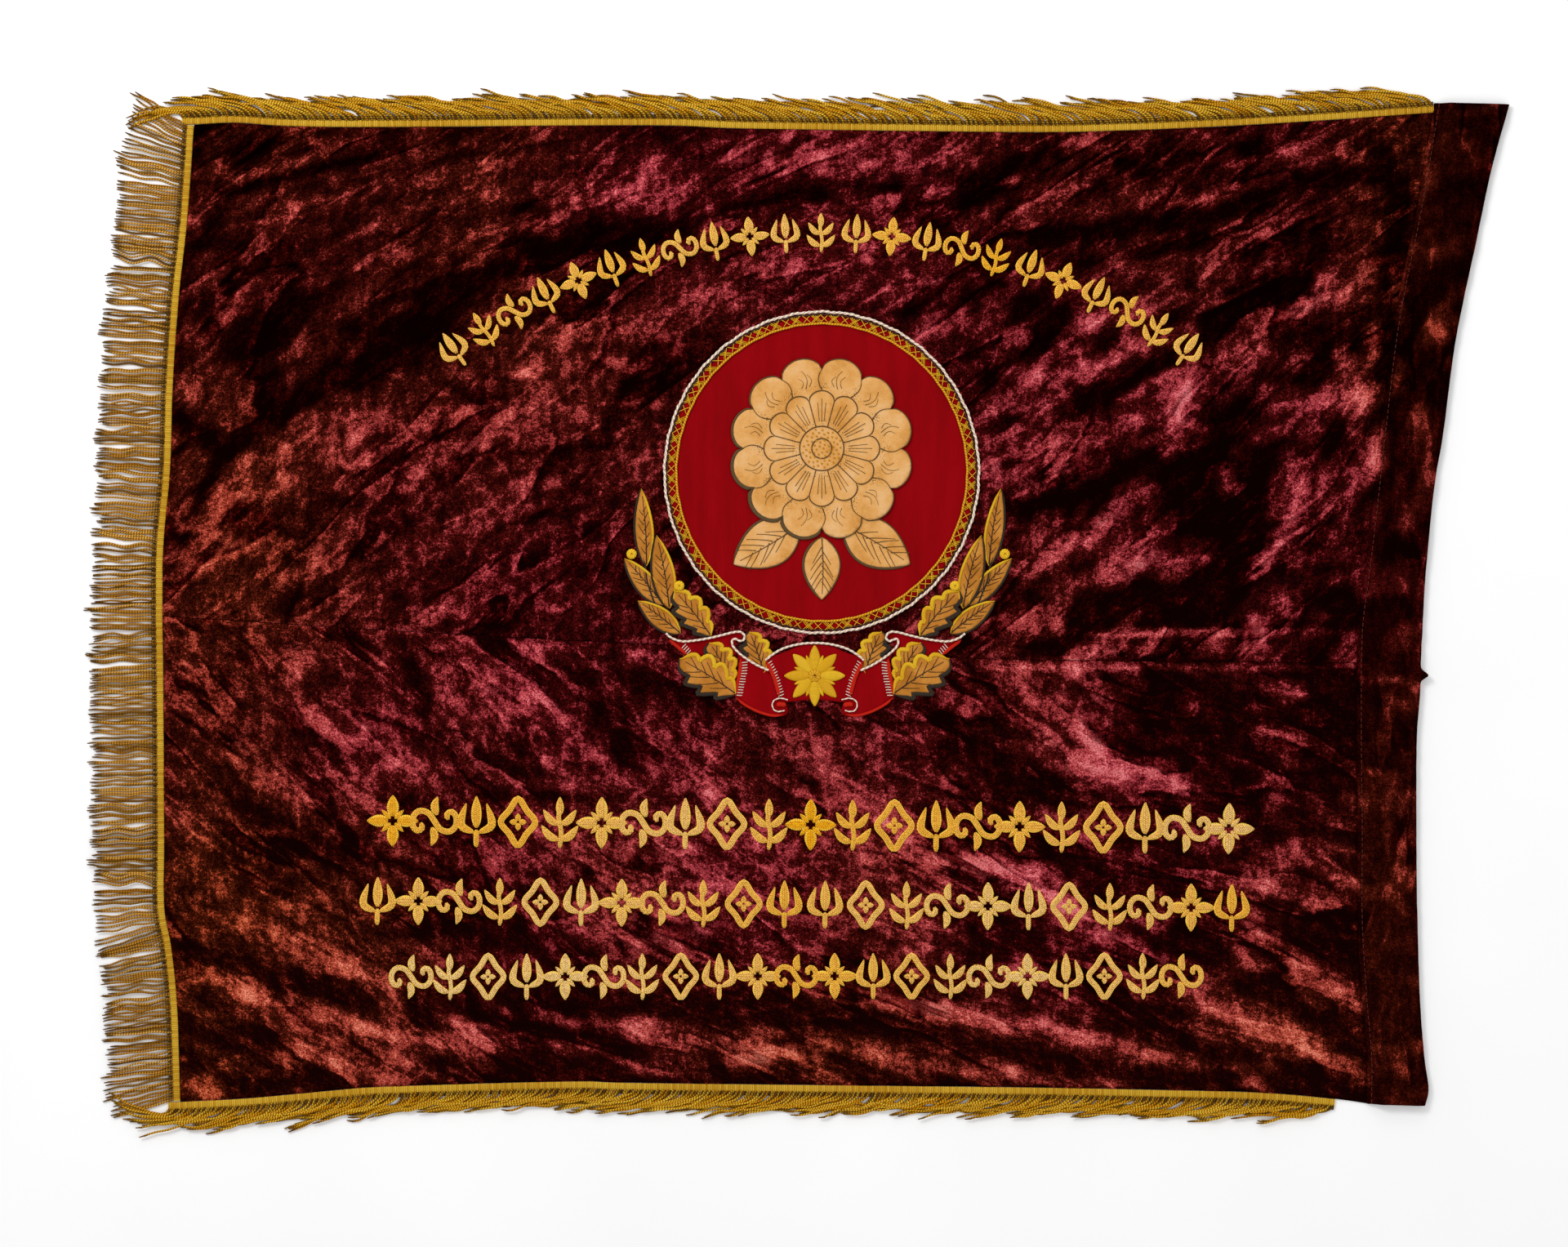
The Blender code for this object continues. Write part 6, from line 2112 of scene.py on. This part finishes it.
@dataclass
class Ribbon:
    """The crimson ribbon under the medallion, with its cords, hatching and scarlet edges."""

    cord_radius: float = 1.55 * MM
    cord_step: float = 0.9 * MM
    cord_lay: float = 6 * MM
    roll_cord_slim: float = 0.62
    band_step: float = 1.2 * MM
    hatch_length: float = 6.8 * MM
    hatch_pitch: float = 3.4 * MM
    hatch_radius: float = 0.62 * MM

    def _hatch(self, line: Sequence, side: Side, layer: int, shape: Shape) -> None:
        """Short white stitches in a row beside a fold."""
        path = Line(smooth_points(side.place(line), 8))
        count = round(path.length / self.hatch_pitch)
        for number in range(count):
            share = (number + 0.5) / count
            spot, out = path.at(share), path.outward(share, 0.05)
            along = np.array([out[1], -out[0]])
            long = self.hatch_length * (1 + 0.2 * wobble(number, 3))
            shares = np.linspace(-0.5, 0.5, 4)[:, None]
            flat = spot + shares * (out * side.value + 0.18 * along) * long
            height = layer_height(layer) + FELT_THICK + 0.15 * MM + 0.25 * MM * np.cos(np.pi * shares[:, 0])
            shape.tube(flat, height, round_ring(self.hatch_radius, 5), 1.0)

    def _cord(self, points: Array, height: float, shape: Shape, slim: float = 1.0) -> None:
        """A couched white cord along a smooth line."""
        path = Line(smooth_points(points, 10))
        count = max(8, round(path.length / self.cord_step))
        shares = np.linspace(0, 1, count)
        turns = 2 * np.pi * path.length / self.cord_lay * shares / 2
        rings = plied_rings(slim * self.cord_radius, turns, 8, 2, 0.3)
        shape.tube(path.at(shares), height, rings, 0.6)

    def _band(self, points: Array, half: float, height: float, tall: float, shape: Shape) -> None:
        """A scarlet satin-stitched edge."""
        path = Line(smooth_points(points, 10))
        count = max(6, round(path.length / self.band_step))
        flat = path.at(np.linspace(0, 1, count))
        shape.tube(flat, height, dome_rings(tapered(count, half), tall), 0.4, by_width=True)

    def make(self) -> None:
        """Makes the five cloth pieces and what is stitched on them."""
        cords, hatches, scarlet = (Shape(f"ribbon_{part}") for part in ("cords", "hatching", "scarlet_edges"))
        for side in Side:
            for name, outline, layer in (("tail", TAIL_OUTLINE, 0), ("side", SIDE_OUTLINE, 1)):
                fine = side.place(smooth_points(outline, 4, closed=True))
                AppliedPiece(
                    f"ribbon_{name}_{side.word}", fine, layer, "red_satin", 3.0 * MM,
                    cloth_relief(50 + layer, 0.2 * MM, 20 * MM, 0.4),
                ).make(SATEEN, "sateen")
            self._cord(side.place(TAIL_CORD), layer_height(1) + FELT_THICK + self.cord_radius, cords)
            self._cord(side.place(ROLL), layer_height(2) + FELT_THICK + 0.9 * MM, cords, self.roll_cord_slim)
            for line, half, layer, lift, tall in (
                (SIDE_SCARLET, 2.6, 1, 0.3, 1.8), (SIDE_LOW, 1.7, 1, 0.3, 1.7),
                (MIDDLE_SCARLET, 2.8, 2, 0.3, 1.9), (TAIL_SCARLET, 2.2, 0, 0.3, 1.6),
                (ROLL_CORE, 3.0, 2, 0.2, 2.2),
            ):
                height = layer_height(layer) + lift * MM
                self._band(side.place(line), half * MM, height, tall * MM, scarlet)
            for line, layer in ((HATCH_SIDE, 1), (HATCH_MIDDLE, 2), (HATCH_TAIL, 0)):
                self._hatch(line, side, layer, hatches)
        half = MIDDLE_HALF * (RIBBON_SQUEEZE, 1)
        middle = smooth_points(np.vstack([half, half[-2:0:-1] * (-1, 1)]), 4, closed=True) + (RIBBON_X, 0.0)
        AppliedPiece(
            "ribbon_middle", middle, 2, "red_satin", 3.0 * MM, cloth_relief(60, 0.2 * MM, 24 * MM, 0.2),
        ).make(SATEEN, "sateen")
        top = MIDDLE_CORD * (RIBBON_SQUEEZE, 1)
        self._cord(
            np.vstack([top, top[-2::-1] * (-1, 1)]) + (RIBBON_X, 0.0),
            layer_height(2) + FELT_THICK + self.cord_radius, cords,
        )
        BENCH.lay(cords, WHITE_CORD, "white_cord")
        BENCH.lay(hatches, WHITE_CORD, "white_cord")
        BENCH.lay(scarlet, SCARLET_SATIN, "red_satin")


@dataclass
class Rosette:
    """A gold satin-stitched rosette on the ribbon's middle."""

    y: float = -0.0830
    petal_start: float = 6.5 * MM
    radius: float = 0.036
    count: int = 8

    def make(self) -> None:
        """Makes its petals, the short leaves between them and its wound heart."""
        centre = (RIBBON_X, self.y)
        low = layer_height(3)
        shape, heart = Shape("rosette_petals"), Shape("rosette_heart")
        for number in range(2 * self.count):
            long = number % 2 == 0
            share = np.linspace(0, 1, 14)
            end = self.radius * (0.99 if long else 0.72)
            reach = self.petal_start + (end - self.petal_start) * share
            half = (6.6 if long else 3.0) * MM * np.sin(np.pi * (0.08 + 0.90 * share)) ** 0.75
            tall = (2.2 if long else 1.4) * MM
            tone = 0.35 + 0.35 * math.sin(number * 1.9)
            flat = clockwise(centre, reach, math.pi * number / self.count)
            shape.tube(flat, low, dome_rings(half, tall), tone, by_width=True)
        wound_dome(heart, centre, 7.0 * MM, low + 1.2 * MM, 1.6 * MM, 7, 0.8 * MM, 0.7)
        BENCH.lay(shape, GOLD_SATIN, "gold_yarn", ["rosette"])
        BENCH.lay(heart, GOLD_CORD, "gold_yarn")


# The embroidered rows of ornament


@dataclass(frozen=True)
class Stroke:
    """One chain-stitched stroke of a motif.

    Attributes:
        points: What it passes through, in shares of the motif's height, from the motif's middle.
        half: Its half width, in the same shares.
        leaf: Whether it swells from a thin base and runs to a point, and so is a leaf or a petal.
        closed: Whether it is a ring.
    """

    points: tuple
    half: float = 0.072
    leaf: bool = False
    closed: bool = False


def mirrored(stroke: Stroke) -> Stroke:
    """The same stroke on the other side of the motif's middle."""
    return Stroke(tuple((-x, y) for x, y in stroke.points), stroke.half, stroke.leaf, stroke.closed)


def turned_petals(count: int, start: float, end: float, half: float, turn: float = 0.0) -> tuple[Stroke, ...]:
    """Petals set round the motif's middle."""
    ways = [turn + 2 * math.pi * number / count for number in range(count)]
    ends = [tuple((reach * math.sin(way), reach * math.cos(way)) for reach in (start, end)) for way in ways]
    return tuple(Stroke(pair, half, True) for pair in ends)


SPRIG_LEAF = Stroke(((0.02, -0.34), (0.20, -0.26), (0.36, -0.06)), 0.085, True)
SPRIG_UPPER = Stroke(((0.02, -0.04), (0.18, 0.05), (0.32, 0.25)), 0.080, True)
SCROLL_HALF = (
    (0.27, 0.03), (0.24, 0.13), (0.33, 0.19), (0.42, 0.10), (0.42, -0.08), (0.30, -0.20), (0.12, -0.16),
)
LOZENGE_RING = (
    (0.0, 0.46), (0.17, 0.23), (0.34, 0.0), (0.17, -0.23), (0.0, -0.46), (-0.17, -0.23), (-0.34, 0.0),
    (-0.17, 0.23),
)
BUD_SEPAL = Stroke(((0.04, -0.22), (0.30, -0.06), (0.20, 0.36)), 0.085, True)


class Motif(Enum):
    """The motifs of the ornament rows, each with its strokes."""

    SPRIG = (
        Stroke(((0.0, -0.5), (0.03, -0.2), (-0.02, 0.1), (0.0, 0.24)), 0.048),
        SPRIG_LEAF, mirrored(SPRIG_LEAF), SPRIG_UPPER, mirrored(SPRIG_UPPER),
        Stroke(((0.0, 0.14), (0.0, 0.5)), 0.085, True),
    )
    SCROLL = (
        Stroke(SCROLL_HALF + ((0.0, 0.0),) + tuple((-x, -y) for x, y in SCROLL_HALF[::-1]), 0.062),
        Stroke(((0.05, 0.12), (0.0, 0.30), (0.06, 0.48)), 0.085, True),
        Stroke(((-0.05, -0.12), (0.0, -0.30), (-0.06, -0.48)), 0.085, True),
    )
    LOZENGE = (
        Stroke(LOZENGE_RING, 0.066, closed=True), *turned_petals(4, 0.02, 0.17, 0.06),
    )
    QUATREFOIL = (
        *turned_petals(4, 0.09, 0.50, 0.125), *turned_petals(4, 0.06, 0.30, 0.05, math.pi / 4),
    )
    BUD = (
        Stroke(((0.0, -0.5), (0.0, -0.16)), 0.055), BUD_SEPAL, mirrored(BUD_SEPAL),
        Stroke(((0.0, -0.12), (0.0, 0.50)), 0.110, True),
    )


@dataclass
class OrnamentRow:
    """One row of chain-stitched ornament that follows a line on the velvet.

    Attributes:
        name: The row's name.
        line: Its middle line, with the motifs' tops on the left of its way.
        height: How tall its motifs are.
        count: How many motifs it has.
        motifs: What they are, from the row's middle outwards, over and over.
        tones: The tones along it, as (share along, tone).
        pad: How high the stitching stands.
        step: How far apart the sections of a stroke lie.
    """

    name: str
    line: Line
    height: float
    count: int
    motifs: tuple[Motif, ...]
    tones: tuple
    pad: float = 1.7 * MM
    step: float = 3.4 * MM

    def _stroke(
        self, stroke: Stroke, spot: Array, up: Array, tone: float, cloth: Cloth, shape: Shape,
    ) -> None:
        """Adds one stroke of a motif that stands at a spot, laid on the velvet's face."""
        along = np.array([up[1], -up[0]])
        fine = smooth_points(stroke.points, 6, closed=stroke.closed) * self.height
        flat = spot + fine[:, :1] * along + fine[:, 1:] * up
        line = Line(np.vstack([flat, flat[:1]]) if stroke.closed else flat)
        count = max(8, round(line.length / self.step))
        shares = np.arange(count) / count if stroke.closed else np.linspace(0, 1, count)
        half = stroke.half * self.height
        if stroke.leaf:
            widths = half * np.maximum(np.sin(np.pi * (0.06 + 0.92 * shares**0.85)) ** 0.8, 0.12)
        elif stroke.closed:
            widths = np.full(count, half)
        else:
            widths = half * (0.45 + 0.55 * ease(np.minimum(shares, 1 - shares) * line.length / half * 0.8))
        placed = line.at(shares)
        height = cloth.face(placed[:, 0], placed[:, 1]) - 0.25 * MM
        tall = self.pad * np.minimum(1.0, 0.45 + 0.55 * widths / half)
        edge = np.tile([1.0, 0.9, 0.0, 0.0, 0.0, 0.9, 1.0], (count, 1))
        rings = dome_rings(widths, tall)
        shape.tube(placed, height, rings, tone, edge, closed=stroke.closed, by_width=True)

    def make(self, cloth: Cloth) -> None:
        """Makes the row as one piece."""
        shape = Shape(f"{self.name}_ornament")
        for number in range(self.count):
            share = (number + 0.5) / self.count
            spot, up = self.line.at(share), self.line.outward(share, 0.02)
            from_middle = abs(number - (self.count - 1) / 2)
            motif = self.motifs[int(from_middle) % len(self.motifs)]
            tone = np.interp(share, *zip(*self.tones)) + 0.10 * wobble(number, len(self.name))
            for stroke in motif.value:
                self._stroke(stroke, spot, up, float(np.clip(tone, 0, 1)), cloth, shape)
        BENCH.lay(shape, GOLD_CHAIN, "gold_yarn")


def arc(centre: Sequence[float], radius: float, start: float, end: float) -> Line:
    """A line along a circle, from and to so many degrees clockwise of straight up."""
    return Line(clockwise(centre, radius, np.radians(np.linspace(start, end, 90))))


def make_ornament(cloth: Cloth) -> None:
    """Makes the arch over the emblem and the three rows under it."""
    sprig, scroll, lozenge, quatrefoil, bud = Motif
    level = [in_tenths(*ends) for ends in (
        (-5000, -2534, 5320, -2630), (-5170, -3475, 5350, -3562), (-4760, -4368, 4740, -4358),
    )]
    rows = (
        OrnamentRow(
            "arch", arc((0.028, -0.306), 0.744, -37, 37), 0.046, 23, (sprig, bud, quatrefoil, bud, scroll),
            ((0.0, 0.40), (0.25, 0.25), (0.45, 0.55), (0.7, 0.10), (1.0, 0.45)),
        ),
        OrnamentRow(
            "row_upper", Line(level[0]), 0.060, 21, (quatrefoil, sprig, lozenge, bud, scroll),
            ((0.0, 0.05), (0.2, 0.25), (0.34, 0.75), (0.5, 0.1), (0.8, 0.3), (1.0, 0.9)),
        ),
        OrnamentRow(
            "row_middle", Line(level[1]), 0.056, 22, (bud, lozenge, sprig, scroll, quatrefoil),
            ((0.0, 0.3), (0.25, 0.75), (0.45, 0.2), (0.7, 0.8), (0.9, 0.5), (1.0, 0.1)),
        ),
        OrnamentRow(
            "row_lower", Line(level[2]), 0.054, 21, (scroll, quatrefoil, bud, lozenge, sprig),
            ((0.0, 0.95), (0.3, 0.85), (0.55, 0.15), (0.75, 0.9), (1.0, 0.4)),
        ),
    )
    for row in rows:
        row.make(cloth)


# The studio


@dataclass
class SoftLight:
    """One soft studio light that points at the banner's middle."""

    name: str
    place: tuple[float, float, float]
    size: float
    power: float
    colour: str = "#ffffff"

    def make(self) -> None:
        """Adds the light to the scene."""
        lamp = bpy.data.lights.new(self.name, "AREA")
        lamp.shape = "DISK"
        lamp.size = self.size
        lamp.energy = self.power
        lamp.color = linear(self.colour)[:3]
        light = bpy.data.objects.new(self.name, lamp)
        light.location = self.place
        light.rotation_euler = Vector(self.place).to_track_quat("Z", "Y").to_euler()
        bpy.context.scene.collection.objects.link(light)


@dataclass
class Studio:
    """The camera straight above, the pale floor and the soft lights.

    Attributes:
        aim: Where the camera looks, in the row frame.
        distance: How high it stands.
    """

    aim: tuple[float, float] = (-0.01563, -0.01536)
    distance: float = 4.355
    lens: float = 85.0
    sensor: float = 36.0
    floor_size: float = 9.0
    floor_drop: float = 0.5 * MM
    sky: float = 0.58

    def make_camera(self) -> None:
        """Adds the camera and makes it the scene's own."""
        lens = bpy.data.cameras.new("camera")
        lens.lens = self.lens
        lens.sensor_width = self.sensor
        lens.clip_end = 50.0
        camera = bpy.data.objects.new("camera", lens)
        camera.location = (*self.aim, self.distance)
        bpy.context.scene.collection.objects.link(camera)
        bpy.context.scene.camera = camera

    def make(self) -> None:
        """Adds the floor, the lights and the sky."""
        half = self.floor_size / 2
        mesh = bpy.data.meshes.new("floor")
        corners = [(-half, -half), (half, -half), (half, half), (-half, half)]
        mesh.from_pydata([(x, y, -self.floor_drop) for x, y in corners], [], [(0, 1, 2, 3)])
        mesh.materials.append(BOARD.material)
        floor = bpy.data.objects.new("floor", mesh)
        bpy.context.scene.collection.objects.link(floor)
        for light in (
            SoftLight("key", (-1.9, 2.0, 2.9), 1.4, 72.0),
            SoftLight("fill", (2.2, -0.8, 3.4), 2.6, 26.0),
            SoftLight("back", (0.3, 2.8, 1.6), 1.2, 12.0),
        ):
            light.make()
        world = bpy.data.worlds.new("studio_sky")
        world.use_nodes = True
        sky = world.node_tree.nodes["Background"]
        sky.inputs["Color"].default_value = linear("#ffffff")
        sky.inputs["Strength"].default_value = self.sky
        bpy.context.scene.world = world
        bpy.context.scene.view_settings.view_transform = "Standard"


def main() -> None:
    """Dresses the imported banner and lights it."""
    logging.basicConfig(level=logging.INFO, format="%(name)s: %(message)s")
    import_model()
    studio = Studio()
    studio.make_camera()
    BENCH.measure()
    cloth = Cloth(Nap())
    cloth.make()
    Sleeve(cloth).make()
    make_fringes(cloth)
    Medallion().make()
    Blossom().make()
    for side in Side:
        Spray(side).make()
    Ribbon().make()
    Rosette().make()
    make_ornament(cloth)
    studio.make()


if __name__ == "__main__":
    main()
